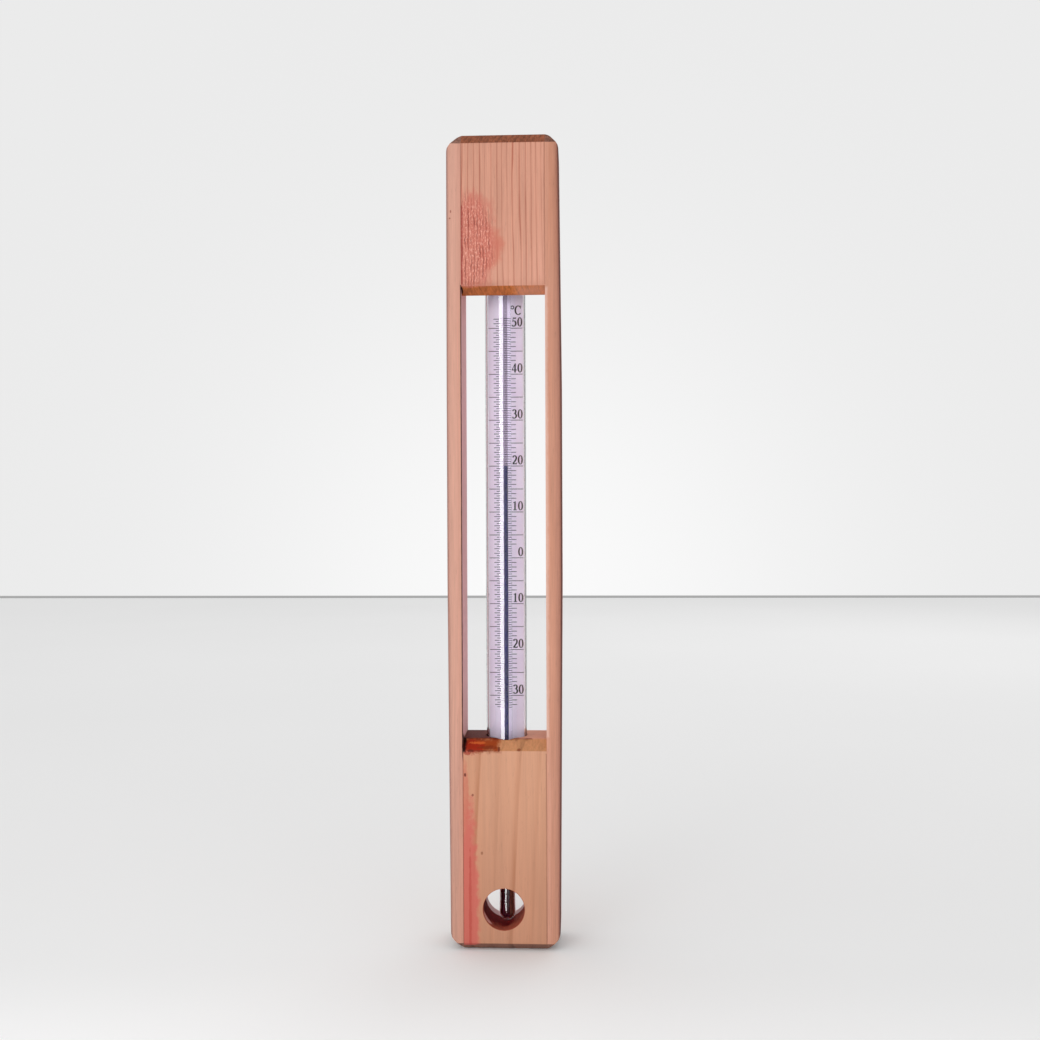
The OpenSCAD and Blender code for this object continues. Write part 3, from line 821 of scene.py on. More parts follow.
def turned(direction, start, end, colour, reach=None):
    """Tints what faces along a direction. A reach is two depths in mm between which the tint dies out."""
    def lay(tree, where, under, under_gloss):
        share = facing_share(tree, direction, start, end)
        if reach is not None:
            near = ramp(tree, split(tree, where)[1], reach[0] * MM, reach[1] * MM, 1.0, 0.0)
            share = product(tree, share, near)
        return mix_colours(tree, share, under, colour, "MULTIPLY"), under_gloss
    return lay


def painted_light_inner_face(direction, low, high, colour):
    """Paints light on the flat that faces along a direction, between two heights in mm: a paler colour
    stands in for the light from behind. The grain stays faintly.
    """
    def lay(tree, where, under, under_gloss):
        height = split(tree, where)[2]
        above = ramp(tree, height, low * MM, (low + 1) * MM)
        below = ramp(tree, height, (high - 1) * MM, high * MM, 1.0, 0.0)
        flat = facing_share(tree, direction, 0.9, 0.98)
        share = product(tree, flat, above, below, 0.8)
        tint = shaded(tree, colour, ramp(tree, fibres(tree, where, FACE_FIBRE), 0.3, 0.7, 0.9, 1.08))
        return mix_colours(tree, share, under, tint), under_gloss
    return lay


# %% [markdown]
# ## Stains and painted shade of the upper block
# A red patch covers the left of the upper block's face. The plane tore the grain there, and a red dye soaked
# in, so the patch has dark furrows about a millimetre apart, broken and swaying, and pale flecks of lifted
# fibre between them. It is laid as a soft red first. The furrows are a wave across the grain, and the flecks
# are a noise stretched along it.

# %% Torn grain
FURROW_STEP = 1.05
FURROW_SWAY = 1.3


def torn_grain(centre, size, red, fleck, pit):
    """Red, torn wood: a soft red, then dark furrows and pale flecks drawn out along the grain."""
    def lay(tree, where, under, under_gloss):
        squeeze = (1.0, 1.0, 0.25)
        streaky = squeezed(tree, where, squeeze)
        flat_centre = [c * q for c, q in zip(centre, squeeze)]
        flat_size = [c * q for c, q in zip(size, squeeze)]
        share = patch(tree, streaky, flat_centre, flat_size, 0.55, 520.0)
        heart = patch(tree, streaky, flat_centre, [0.86 * r for r in flat_size], 0.5, 420.0)
        out = mix_colours(tree, product(tree, share, 0.72), under, red)
        bent = squeezed(tree, where, (150.0, 150.0, 320.0))
        sway = either_way(tree, cloud(tree, bent, 1.0), FURROW_SWAY * MM)
        across_x = total(tree, split(tree, where)[0], sway)
        wave = maths(tree, "SINE", product(tree, across_x, 2 * math.pi / (FURROW_STEP * MM)))
        gaps = cloud(tree, squeezed(tree, where, (1.0, 1.0, 0.16)), 1100.0, 3.0, 0.6)
        furrow = ramp(tree, total(tree, wave, either_way(tree, gaps, 7.0)), 0.2, 1.4)
        out = mix_colours(tree, product(tree, furrow, heart, 0.62), out, pit)
        short_marks = cloud(tree, squeezed(tree, where, (1.0, 1.0, 0.4)), 2300.0, 3.0, 0.7)
        lifted = ramp(tree, short_marks, 0.5, 0.62)
        crest = maths(tree, "SUBTRACT", 1.0, furrow)
        return mix_colours(tree, product(tree, lifted, crest, heart, 0.85), out, fleck), under_gloss
    return lay


# %% Upper block's wood
FACE = -HALF_DEPTH
top_wood = planed_wood(
    "top_block_wood",
    pale=paint(215, 155, 132),
    late=paint(168, 88, 66),
    end_top=paint(150, 86, 60),
    end_under=paint(184, 104, 54),
    rings=((-130, 60), 0.0, 1.78, 3.0, 0.58),
    marks_and_painted_light=[
        tone(2, 262, 240, (1.04, 1.06, 1.08, 1.0)),
        stain_and_painted_light((-4.4, FACE, 249), (5.0, 1, 8), paint(210, 116, 94), 0.6, ragged=0.6, grain=170.0),
        stain_and_painted_light((-10.0, FACE, 258), (5.0, 1, 10), paint(204, 122, 104), 0.45, ragged=0.9, grain=240.0),
        torn_grain(
            (-11.8, FACE, 250),
            (9.6, 1, 19),
            red=paint(206, 114, 98),
            fleck=paint(240, 176, 158),
            pit=paint(128, 44, 36),
        ),
        board((-15.1, FACE - 1, 236.3), (-14.4, FACE + 0.2, 264), paint(150, 50, 44), 0.7, 0.2, 0.2),
        board((-15.1, FACE - 1, 262), (-14.75, FACE + 0.2, 288), paint(160, 100, 84), 0.5, 0.1, 0.1),
        board((14.35, FACE - 1, 236), (14.8, FACE + 0.2, 288), paint(176, 116, 94), 0.5, 0.1, 0.1),
        board((5, FACE + 0.2, 230), (16, FACE + 3.4, 236), paint(200, 138, 114), 0.75, 1.0, 3.0, grain=160.0),
        board((-16, FACE + 0.2, 230), (1, FACE + 3.4, 236), paint(146, 78, 54), 0.45, 1.0, 3.0, grain=160.0),
        # Painted shade: a near-black spot in the corner where the window's head meets the left rail.
        stain_and_painted_light((-14.9, FACE + 1.5, 234.3), (0.5, 2.0, 1.7), paint(30, 8, 6), 1.0, ragged=0.2),
    ],
)

# %% [markdown]
# ## Stains, painted shade and painted light of the lower block
# Its sill is the most handled spot: varnish ran down from the window and dried orange-red and glossy at the
# left. The corner at the sill's left end is painted shade, almost black, and a small painted highlight lies
# on the upper edge of the sill's slope. A red streak runs down beside the left rail to the foot, with a few
# small dark specks by it. Inside the hole the drink has left the wood a dark red-brown. Painted shade makes
# it darker deep in and at the left, painted light makes it lighter at the front and the right and pale at its
# back end, and a painted highlight lies on its lower left. Every mark is one line in a list, laid in the
# order of the list.

# %% Stained hole, with painted shade and light
def hole_dye_and_painted_light(deep, lit_wall, gleam, rim):
    """Colours the wall of the round hole, picked by distance from its axis, and leaves the faces alone. The
    drink has dyed it dark red-brown. Painted shade makes it darker deep in and at the left, painted light
    makes it lighter at the front and the right, gleam is a painted highlight on its lower left, and rim is
    painted light on its back end."""
    def lay(tree, where, under, under_gloss):
        x, y, z = split(tree, vector_maths(tree, "SUBTRACT", where, (HOLE_X * MM, 0.0, HOLE_Z * MM)))
        distance = maths(tree, "SQRT", sum_of_squares(tree, x, z))
        inside = ramp(tree, distance, (HOLE_RADIUS + 0.05) * MM, (HOLE_RADIUS + 0.2) * MM, 1.0, 0.0)
        mottle = cloud(tree, squeezed(tree, where, (1.0, 0.35, 1.0)), 420.0, 4.0, 0.6)
        # Painted light and shade: the wall is lighter near the front and at the right, darker deep in.
        near_front = ramp(tree, y, FACE * MM, -1 * MM, 0.42, -0.3)
        near_right = ramp(tree, x, 0, 5 * MM, 0.0, 0.4)
        lightness = total(tree, mottle, near_front, near_right)
        wall = mix_colours(tree, ramp(tree, lightness, 0.35, 0.85), deep, lit_wall)
        # Painted highlight: a pale pink streak on the lower left of the wall.
        streak = patch(tree, where, (-6.9, -7.6, 10.4), (2.2, 1.6, 3.4), 0.3, 500.0)
        wall = mix_colours(tree, streak, wall, gleam)
        # Painted light: the back end of the wall is paler.
        wall = mix_colours(tree, ramp(tree, y, 4.0 * MM, 4.8 * MM), wall, rim)
        gloss = total(tree, under_gloss, product(tree, inside, 0.25))
        return mix_colours(tree, inside, under, wall), gloss
    return lay


# %% Lower block's wood
LEDGE = WINDOW_FOOT
SILL_EDGE = WINDOW_FOOT - SILL_SLOPE
varnish = paint(152, 56, 2)
bright_run = paint(224, 110, 50)
ledge_line = paint(108, 36, 16)
bottom_wood = planed_wood(
    "bottom_block_wood",
    pale=paint(212, 157, 127),
    late=paint(188, 128, 96),
    end_top=paint(198, 138, 96),
    end_under=paint(146, 106, 90),
    rings=((-119.5, 40), 0.05, 6.6, 0.8, 0.55),
    speckled=0.12,
    streaks=0.45,
    marks_and_painted_light=[
        tone(2, 66, 14, (0.88, 0.84, 0.83, 1.0)),
        tone(0, -6, -13, (0.97, 0.93, 0.9, 1.0)),
        stain_and_painted_light((-13.4, FACE, 12), (4.0, 1, 43), paint(210, 100, 92), 0.8, ragged=0.5, grain=240.0),
        stain_and_painted_light((-12.6, FACE, 14), (0.5, 1, 24), paint(186, 64, 56), 0.5, ragged=0.9, grain=420.0),
        stain_and_painted_light((-14.2, FACE, 55), (1.3, 1, 13), paint(206, 110, 92), 0.55, ragged=0.6, grain=260.0),
        stain_and_painted_light((-8.4, FACE, 34.6), (0.45, 1, 0.6), paint(150, 92, 66), 0.7, grain=900.0),
        stain_and_painted_light((-14.3, FACE, 62.4), (0.4, 1, 0.7), paint(100, 34, 30), 0.85, grain=900.0),
        stain_and_painted_light((-11.6, FACE, 55.2), (0.45, 1, 0.5), paint(130, 64, 54), 0.7, grain=900.0),
        board((-15.2, FACE - 1, 0), (-14.8, FACE + 0.2, 70), paint(160, 86, 66), 0.6, 0.1, 0.1),
        board((14.35, FACE - 1, 0), (14.8, FACE + 0.2, 70), paint(160, 104, 82), 0.5, 0.1, 0.1),
        board((-16, FACE - 0.2, SILL_EDGE), (-2.4, FACE + 4.1, 76), varnish, 0.96, 1.1, 1.2, grain=600.0),
        stain_and_painted_light((-11.8, FACE + 1.5, 72.4), (4.6, 3, 3.0), paint(158, 24, 0), 0.8, ragged=1.0, grain=900.0),
        stain_and_painted_light((-9.6, FACE + 2, 73.4), (3.4, 1.5, 0.5), bright_run, 0.55, ragged=1.2, gloss=0.35, grain=900.0),
        stain_and_painted_light((-6.0, FACE + 1, 71.9), (3.6, 1.5, 0.7), paint(120, 42, 12), 0.7, ragged=1.2, grain=800.0),
        stain_and_painted_light((-13.6, FACE, 70.2), (1.2, 1, 0.9), paint(170, 54, 40), 0.7, ragged=0.9, grain=700.0),
        stain_and_painted_light((-12.4, FACE, 70.9), (1.2, 0.9, 0.5), paint(96, 26, 14), 0.8, ragged=0.9, grain=900.0),
        stain_and_painted_light((-9.0, FACE, 71), (5.0, 0.5, 0.35), paint(110, 46, 26), 0.6, ragged=0.9, grain=700.0),
        stain_and_painted_light((-2.2, FACE + 0.6, 71.4), (0.5, 1.2, 0.9), paint(104, 34, 16), 0.8, ragged=0.6, grain=700.0),
        stain_and_painted_light((4.9, FACE + 0.6, 71.2), (0.7, 0.8, 0.6), paint(130, 56, 34), 0.75, ragged=0.6, grain=900.0),
        board((-16, FACE + 3.9, LEDGE - 0.8), (-3, 11, 76), paint(92, 18, 12), 0.96, 0.5, 0.4, grain=700.0),
        board((4, FACE + 3.9, LEDGE - 0.5), (16, 11, 76), paint(214, 152, 130), 0.85, 0.3, 0.4),
        board((-13, FACE + 3.5, LEDGE - 0.9), (9.5, FACE + 4.2, 76), ledge_line, 0.7, 0.5, 0.4, grain=700.0),
        # Painted highlight: a small pale spot on the upper edge of the sill's slope.
        stain_and_painted_light((-8.4, FACE + 4, 74.2), (1.0, 0.5, 0.3), paint(250, 220, 196), 0.8, ragged=0.5, grain=900.0),
        # Painted shade: the near-black corner at the left end of the sill.
        board((-15.2, FACE - 0.3, 70.4), (-14.0, FACE + 5, 76), paint(20, 0, 0), 0.96, 0.6, 0.6, grain=600.0),
        # The hole's wall: dyed dark red-brown by the drink, with painted shade, painted light and a painted
        # highlight.
        hole_dye_and_painted_light(paint(110, 0, 0), paint(168, 82, 60), paint(236, 170, 160), paint(208, 172, 172)),
    ],
)

# %% [markdown]
# ## Wood of the rails
# The rails are plain and quartered, so their rings are long and faint. Each one gets its tones from across
# the face: darker towards the outer corner, which on the right rail is painted shade, and on the right rail
# paler in a strip beside the window.
# The left rail shows its inner face in the photograph, and a dark line where face and inner face meet.

# %% Left rail's wood
INNER_TOP = 236
left_wood = planed_wood(
    "left_rail_wood",
    pale=paint(213, 160, 141),
    late=paint(200, 140, 116),
    end_top=paint(140, 100, 86),
    end_under=paint(140, 104, 90),
    rings=((-90, 200), 0.004, 3.4, 2.0, 0.35),
    marks_and_painted_light=[
        tone(2, 110, 40, (0.94, 0.93, 0.92, 1.0)),
        stain_and_painted_light((-18.6, FACE, 262), (0.3, 1, 0.5), paint(150, 84, 70), 0.8, grain=900.0),
        stain_and_painted_light((-18.9, FACE, 259.6), (0.35, 1, 0.35), paint(150, 84, 70), 0.8, grain=900.0),
        tone(0, -18.5, -20.0, (0.8, 0.8, 0.84, 1.0)),
        tone(0, -17.4, -15.4, (0.98, 0.93, 0.92, 1.0)),
        turned((-1.0, 0.0, 0.0), 0.3, 1.0, (0.66, 0.68, 0.72, 1.0), reach=(FACE + 3, FACE + 8)),
        # Painted light: the inner face beside the window is paler and pinkish, as light from behind makes it.
        painted_light_inner_face((1.0, 0.0, 0.0), WINDOW_FOOT, INNER_TOP, paint(236, 178, 183)),
        # Painted shade: a dark line where face and inner face meet, and a dark spot in the corner at the
        # sill.
        board((-15.3, FACE - 1, 72), (-14.9, FACE + 0.5, INNER_TOP), paint(44, 8, 8), 0.95, 0.05, 0.1),
        stain_and_painted_light((-14.9, FACE + 2, 72), (0.5, 5, 5), paint(60, 14, 14), 0.9),
    ],
)

# %% Right rail's wood
right_wood = planed_wood(
    "right_rail_wood",
    pale=paint(211, 154, 130),
    late=paint(194, 130, 102),
    end_top=paint(134, 90, 74),
    end_under=paint(140, 100, 84),
    rings=((90, 180), -0.003, 3.0, 2.0, 0.35),
    marks_and_painted_light=[
        tone(2, 232, 256, (0.96, 0.92, 0.89, 1.0)),
        tone(0, 17.4, 16.2, (1.05, 1.04, 1.06, 1.0)),
        # Painted shade: darker towards the outer corner and on the side facing right, darkest by the front.
        tone(0, 16.8, 19.2, (0.8, 0.74, 0.75, 1.0)),
        turned((1.0, 0.0, 0.0), 0.2, 0.75, (0.8, 0.76, 0.78, 1.0)),
        turned((1.0, 0.0, 0.0), 0.6, 0.95, (0.26, 0.2, 0.28, 1.0), reach=(FACE + 2, FACE + 6)),
        # Painted light: the inner face beside the window is painted paler, as light from behind makes it.
        painted_light_inner_face((-1.0, 0.0, 0.0), WINDOW_FOOT, INNER_TOP, paint(230, 190, 184)),
        board((14.4, FACE - 1, 76), (15.6, FACE + 0.6, 235), paint(232, 192, 176), 0.6, 0.3, 0.5),
    ],
)

# %% [markdown]
# ## Glass
# Clear glass is a transmitting shader with the index of real glass. A renderer without caustics would let
# the tube throw a black shadow on its own scale. So shadow rays pass straight through, by a mix with a
# transparent shader, and the scale inside stays as bright as it is in the hand. Faint smears in the
# roughness keep the highlight from looking drawn. At the two sides of a real tube the light has come a long
# way through the wall and looks dark, so the sheath's outermost strip is tinted. The bore is wetted by the
# spirit, so its wall bends light very little, and it gets its own glass with an index close to 1. That glass
# is tinted grey, as painted shade for the grey that the bore shows through the rod.

# %% Clear glass
def clear_glass(name, tint, index, edge=None, shine=0.5):
    """Clear glass. edge is the colour of the sheath's outermost strip, and shine how strongly it mirrors."""
    material, tree, shader, coordinates = new_finish(name)
    shader.inputs["Base Color"].default_value = tint
    shader.inputs["IOR"].default_value = index
    shader.inputs["Transmission Weight"].default_value = 1.0
    shader.inputs["Specular IOR Level"].default_value = shine
    smear = cloud(tree, coordinates.outputs["Object"], 90.0, 3.0, 0.6)
    feed(tree, shader.inputs["Roughness"], ramp(tree, smear, 0.4, 0.8, 0.0, 0.003))
    if edge is not None:
        width = maths(tree, "ABSOLUTE", split(tree, coordinates.outputs["Object"])[0])
        outermost = ramp(tree, width, (SHEATH_OUT - 0.2) * MM, (SHEATH_OUT - 0.08) * MM)
        feed(tree, shader.inputs["Base Color"], mix_colours(tree, outermost, tint, edge))
    ray = tree.nodes.new("ShaderNodeLightPath")
    clear = tree.nodes.new("ShaderNodeBsdfTransparent")
    clear.inputs["Color"].default_value = tint
    either = tree.nodes.new("ShaderNodeMixShader")
    shadow_ray = ray.outputs["Is Shadow Ray"]
    for socket, value in zip(either.inputs, (shadow_ray, shader.outputs[0], clear.outputs[0])):
        feed(tree, socket, value)
    feed(tree, tree.nodes["Material Output"].inputs["Surface"], either.outputs[0])
    return material


sheath_glass = clear_glass("sheath_glass", (0.97, 0.97, 1.0, 1.0), 1.47, edge=(0.05, 0.06, 0.07, 1.0))
rod_glass = clear_glass("capillary_glass", (0.97, 0.97, 1.0, 1.0), 1.5)
# The bore's glass is tinted grey: painted shade for the grey that the bore shows through the rod.
bore_shade_glass = clear_glass("bore_shade_glass", (0.56, 0.5, 0.55, 1.0), 1.01)
bulb_glass = clear_glass("bulb_glass", (0.97, 0.96, 0.98, 1.0), 1.5, shine=1.0)
print("glass made:", sheath_glass.name, rod_glass.name, bulb_glass.name)


# %% Dyed spirit
def dyed_spirit(name, tint, depth, glow=None):
    """Dark dyed liquid: mostly opaque. A glow is a painted reflection at its right: the brown of the wood
    round it.
    """
    material, tree, shader, coordinates = new_finish(name)
    swirl = cloud(tree, coordinates.outputs["Object"], 60.0, 2.0, 0.5)
    colour = mix_colours(tree, ramp(tree, swirl, 0.3, 0.7), tint, depth)
    if glow is not None:
        right = ramp(tree, split(tree, coordinates.outputs["Object"])[0], 0.8 * MM, 1.1 * MM)
        colour = mix_colours(tree, right, colour, glow)
    feed(tree, shader.inputs["Base Color"], colour)
    shader.inputs["Roughness"].default_value = 0.12
    shader.inputs["Specular IOR Level"].default_value = 0.1
    shader.inputs["IOR"].default_value = 1.36
    shader.inputs["Transmission Weight"].default_value = 0.25
    return material


thread_spirit = dyed_spirit("thread_spirit", (0.012, 0.002, 0.22, 1.0), (0.008, 0.001, 0.15, 1.0))
bulb_dark = (0.05, 0.006, 0.015, 1.0)
# The glow at the right of the bulb's liquid is a painted reflection of the brown wood in the hole.
bulb_spirit = dyed_spirit("bulb_spirit", bulb_dark, (0.03, 0.004, 0.01, 1.0), glow=(0.17, 0.06, 0.04, 1.0))
print("spirits mixed:", thread_spirit.name, bulb_spirit.name)

# %% [markdown]
# ## Plate, print and hidden trim
# Opal glass is white all through with a faint violet cast and a satin face. The print is a fired enamel that
# has thinned in places. Cork, felt and copper are out of sight inside the blocks, but they show when the
# case is cut open, so each one has its own finish too.

# %% Opal glass
def opal_glass():
    material, tree, shader, coordinates = new_finish("opal_glass")
    mottle = cloud(tree, coordinates.outputs["Object"], 160.0, 3.0, 0.5)
    colour = mix_colours(tree, ramp(tree, mottle, 0.3, 0.7), paint(238, 222, 237), paint(243, 230, 242))
    feed(tree, shader.inputs["Base Color"], colour)
    shader.inputs["Roughness"].default_value = 0.5
    shader.inputs["Specular IOR Level"].default_value = 0.15
    return material


# %% Fired enamel
def fired_enamel():
    material, tree, shader, coordinates = new_finish("fired_enamel")
    where = coordinates.outputs["Object"]
    thin = ramp(tree, cloud(tree, where, 700.0, 3.0, 0.6), 0.55, 0.8)
    colour = mix_colours(tree, thin, paint(10, 4, 14), paint(52, 38, 60))
    feed(tree, shader.inputs["Base Color"], colour)
    feed(tree, shader.inputs["Roughness"], ramp(tree, thin, 0.0, 1.0, 0.5, 0.7))
    shader.inputs["Specular IOR Level"].default_value = 0.2
    return material


# %% Cork
def cork_finish():
    material, tree, shader, coordinates = new_finish("pressed_cork")
    where = coordinates.outputs["Object"]
    grains = tree.nodes.new("ShaderNodeTexVoronoi")
    feed(tree, grains.inputs["Vector"], where)
    grains.inputs["Scale"].default_value = 900.0
    gap = ramp(tree, grains.outputs["Distance"], 0.35, 0.75)
    body = mix_colours(tree, cloud(tree, where, 500.0), paint(196, 146, 96), paint(166, 112, 68))
    feed(tree, shader.inputs["Base Color"], mix_colours(tree, gap, body, paint(110, 70, 42)))
    shader.inputs["Roughness"].default_value = 0.85
    bump(tree, shader, gap, 0.4, 0.1 * MM)
    return material


# %% Felt
def felt_finish():
    material, tree, shader, coordinates = new_finish("pressed_felt")
    where = coordinates.outputs["Object"]
    hairs = cloud(tree, where, 2600.0, 4.0, 0.8)
    colour = mix_colours(tree, ramp(tree, hairs, 0.35, 0.65), paint(134, 130, 122), paint(176, 172, 162))
    feed(tree, shader.inputs["Base Color"], colour)
    shader.inputs["Roughness"].default_value = 0.95
    shader.inputs["Sheen Weight"].default_value = 0.3
    bump(tree, shader, hairs, 0.5, 0.1 * MM)
    return material


# %% Copper
def copper_finish():
    material, tree, shader, coordinates = new_finish("drawn_copper")
    where = coordinates.outputs["Object"]
    tarnish = ramp(tree, cloud(tree, where, 800.0, 3.0), 0.45, 0.7)
    colour = mix_colours(tree, tarnish, paint(200, 126, 92), paint(128, 76, 56))
    feed(tree, shader.inputs["Base Color"], colour)
    shader.inputs["Metallic"].default_value = 1.0
    feed(tree, shader.inputs["Roughness"], ramp(tree, tarnish, 0.0, 1.0, 0.25, 0.5))
    return material


# %% [markdown]
# ## Putting it together
# Each new piece takes its finish, rides on the body that carries it, and hides and prints the node of the
# frame that it stands for. Nodes that are already right keep their own mesh and only change material. The
# bore's wall is picked out on the rod by its distance from the axis.

# %% Dress the new pieces
def dress(piece, finish):
    piece.data.materials.clear()
    piece.data.materials.append(finish)


def fit(piece, node, finish, body="case"):
    """Gives a piece its finish and its body, and hides and prints the node that it stands for."""
    dress(piece, finish)
    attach(piece, body)
    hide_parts(node)
    print(piece.name, "stands for", node)


fit(left_rail, "left_rail", left_wood)
fit(right_rail, "right_rail", right_wood)
fit(top_block, "top_block", top_wood)
fit(bottom_block, "bottom_block", bottom_wood)
fit(sheath, "sheath", sheath_glass)
fit(rod, "capillary", rod_glass)
fit(bulb, "bulb", bulb_glass)
fit(bulb_liquid, "bulb_liquid", bulb_spirit)
fit(plate, "scale_plate", opal_glass())
fit(head, "meniscus", thread_spirit, "liquid_head")

# %% Give the bore's wall its own glass, tinted as painted shade
BORE_REACH = 1.2 * CHAMBER * MM
rod.data.materials.append(bore_shade_glass)
shaded_bore_faces = 0
for face in rod.data.polygons:
    if math.hypot(face.center.x, face.center.y) < BORE_REACH and face.center.z < chamber_top * MM:
        face.material_index = 1
        shaded_bore_faces += 1
print("faces of the bore's wall:", shaded_bore_faces)

# %% Finish the thread
dress(thread, thread_spirit)
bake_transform(thread)
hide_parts("liquid_column")
print("thread stretches from mm:", round(LIQUID_FOOT, 2))

# %% Finish the nodes that stay
enamel = fired_enamel()
cork = cork_finish()
felt = felt_finish()
copper = copper_finish()
stays = {
    "graduations": enamel,
    "numerals": enamel,
    "unit_mark": enamel,
    "plate_saddle": cork,
    "plate_plug": cork,
    "top_pad": felt,
    "shoulder_ring": felt,
    "upper_tie": copper,
    "lower_tie": copper,
}
for node, finish in stays.items():
    node_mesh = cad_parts[node].data
    node_mesh.materials.clear()
    node_mesh.materials.append(finish)
print("nodes kept:", len(stays))

# %% [markdown]
# ## Bolder figures
# Enamel creeps outwards while it is fired, so the real figures are bolder than the pen that drew them. Their
# solids keep the pen's width. Live modifiers swell them here: Weld joins the loose triangles, so that the
# skin stays whole, and Displace pushes it out along its normals.

# %% Swell the print
ENAMEL_CREEP = 0.055
for node in ("numerals", "unit_mark"):
    print_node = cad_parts[node]
    weld = print_node.modifiers.new("Weld", "WELD")
    weld.merge_threshold = 0.001 * MM
    creep = print_node.modifiers.new("Creep", "DISPLACE")
    creep.strength = ENAMEL_CREEP * MM
    creep.mid_level = 0.0
print("print swollen by mm:", ENAMEL_CREEP)

# %% [markdown]
# ## Studio
# The photograph's ground is a pale floor against a paler wall that glows behind the object. The wall's glow
# is paint and not light: camera, mirror and glass rays see its colour, and every other ray passes through it
# to the even air behind, so that it throws nothing on the object. The floor is an ordinary matt surface,
# because it has to take the object's shadow. It is a little lighter towards the camera, and a thin grey line
# at the wall's foot is a painted shadow along the seam where the two meet.

# %% Floor
STAGE_SIZE = 12
deselect_all()
bpy.ops.mesh.primitive_plane_add(size=STAGE_SIZE, location=(0, 0, 0))
floor = bpy.context.active_object
floor.name = "studio_floor"
floor_finish, tree, shader, coordinates = new_finish("floor_paint")
floor_grain = cloud(tree, coordinates.outputs["Object"], 3.0, 2.0)
floor_tone = mix_colours(tree, floor_grain, paint(236, 236, 236), paint(240, 240, 240))
toward_camera = ramp(tree, split(tree, coordinates.outputs["Object"])[1], -0.02, -0.12)
feed(tree, shader.inputs["Base Color"], mix_colours(tree, toward_camera, floor_tone, paint(248, 248, 248)))
shader.inputs["Roughness"].default_value = 0.9
shader.inputs["Specular IOR Level"].default_value = 0.0
floor.data.materials.append(floor_finish)
floor.visible_glossy = False
print("floor laid, metres across:", STAGE_SIZE)

# %% Wall
WALL_Y = 1.72
deselect_all()
wall_middle = (0, WALL_Y, STAGE_SIZE / 2)
bpy.ops.mesh.primitive_plane_add(size=STAGE_SIZE, location=wall_middle, rotation=(math.radians(90), 0, 0))
wall = settle(bpy.context.active_object, "studio_wall")
wall_finish, tree, shader, coordinates = new_finish("wall_paint")
print("wall stands behind the case, in metres:", WALL_Y)

# %% Paint the wall's glow
GLOW_X = -0.05
GLOW_REACH = 0.54
SEAM_FOOT = 0.0035
SEAM_HEAD = 0.005
x, y, z = split(tree, coordinates.outputs["Object"])
side = maths(tree, "DIVIDE", maths(tree, "SUBTRACT", x, GLOW_X), GLOW_REACH)
rise = maths(tree, "DIVIDE", z, GLOW_REACH)
spread = sum_of_squares(tree, side, rise)
glow = maths(tree, "POWER", math.e, product(tree, spread, -1.0))
backdrop = mix_colours(tree, glow, paint(235, 235, 235), paint(250, 250, 250))
# Painted shadow: a thin grey line along the wall's foot.
seam_shadow = ramp(tree, z, SEAM_FOOT, SEAM_HEAD, 1.0, 0.0)
backdrop = mix_colours(tree, seam_shadow, backdrop, paint(168, 168, 168))
glowing = tree.nodes.new("ShaderNodeEmission")
feed(tree, glowing.inputs["Color"], backdrop)
print("glow reaches, in metres:", GLOW_REACH)

# %% Show the wall to the camera only
ray = tree.nodes.new("ShaderNodeLightPath")
seen = maths(tree, "MAXIMUM", ray.outputs["Is Camera Ray"], ray.outputs["Is Glossy Ray"])
seen = maths(tree, "MAXIMUM", seen, ray.outputs["Is Transmission Ray"])
unseen = tree.nodes.new("ShaderNodeBsdfTransparent")
either = tree.nodes.new("ShaderNodeMixShader")
for socket, value in zip(either.inputs, (seen, unseen.outputs[0], glowing.outputs[0])):
    feed(tree, socket, value)
feed(tree, tree.nodes["Material Output"].inputs["Surface"], either.outputs[0])
wall.data.materials.append(wall_finish)

# %% [markdown]
# ## Light
# Even light from all round comes from the world, a little weaker from the right, which models the tall case.
# A soft key stands to the left of the camera, and a weaker soft light from behind keeps the back readable.
# Together they light a face at a plain level, so a colour renders about as it is written. What glass mirrors
# is set apart from what lights the wood: mirrors see a dim room in front, and one tall, narrow strip lamp
# that only they see, which the tube shows as the white line down its whole length.

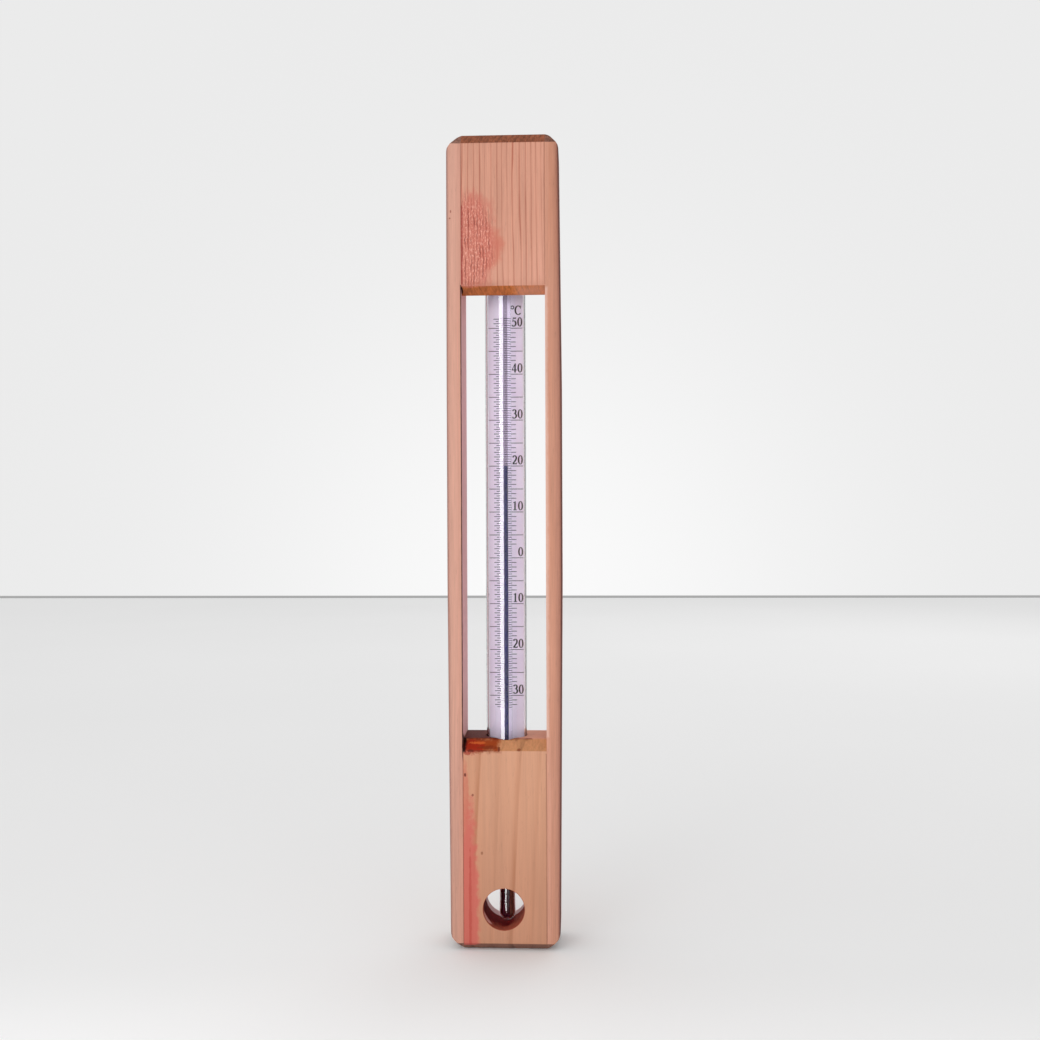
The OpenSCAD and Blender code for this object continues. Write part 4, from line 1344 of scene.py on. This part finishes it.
# %% World
WORLD_LEVEL = 0.95
BACKGROUND_LEVEL = 0.84
ROOM_LEVEL = 0.12
RIGHT_SHADE = 0.45
world = bpy.data.worlds.new("studio_air")
bpy.context.scene.world = world
world.use_nodes = True
tree = world.node_tree
air = tree.nodes["Background"]
air.inputs["Color"].default_value = (1.0, 1.0, 1.0, 1.0)
ray = tree.nodes.new("ShaderNodeLightPath")
toward = tree.nodes.new("ShaderNodeTexCoord").outputs["Generated"]
to_right, to_back, _ = split(tree, toward)
shade = product(tree, maths(tree, "MAXIMUM", to_right, 0.0), -RIGHT_SHADE * WORLD_LEVEL)
level = total(tree, shade, WORLD_LEVEL)
mirrored = ramp(tree, to_back, -0.3, 0.1, ROOM_LEVEL, BACKGROUND_LEVEL)
seen = maths(tree, "MAXIMUM", ray.outputs["Is Camera Ray"], ray.outputs["Is Transmission Ray"])
for share, other in ((ray.outputs["Is Glossy Ray"], mirrored), (seen, BACKGROUND_LEVEL)):
    change = product(tree, maths(tree, "SUBTRACT", other, level), share)
    level = total(tree, level, change)
feed(tree, air.inputs["Strength"], level)
print("light from all round:", WORLD_LEVEL, "and in front for mirrors:", ROOM_LEVEL)


# %% Lamps
def soft_lamp(name, place, aim, width, height, radiance):
    """A rectangular lamp at a place, turned to an aim. Its radiance is the brightness of its own face."""
    deselect_all()
    bpy.ops.object.light_add(type="AREA", location=place)
    lamp = bpy.context.active_object
    lamp.name = name
    lamp.rotation_euler = (Vector(aim) - Vector(place)).to_track_quat("-Z", "Y").to_euler()
    lamp.data.shape = "RECTANGLE"
    lamp.data.size = width
    lamp.data.size_y = height
    lamp.data.energy = radiance * math.pi * width * height
    lamp.visible_camera = False
    print(name, "watts:", round(lamp.data.energy, 2))
    return lamp


key = soft_lamp("key_soft", (-0.14, -0.27, 0.165), (0, 0, 0.155), 0.12, 0.33, 1.3)
key.visible_glossy = False
gleam = soft_lamp("gleam_strip", (-0.112, -0.283, 0.07), (0, 0, 0.07), 0.11, 0.52, 14.0)
gleam.visible_diffuse = False
gleam.visible_transmission = False
soft_lamp("back_fill", (0.5, 1.1, 0.9), (0, 0, 0.15), 0.8, 0.8, 0.8)
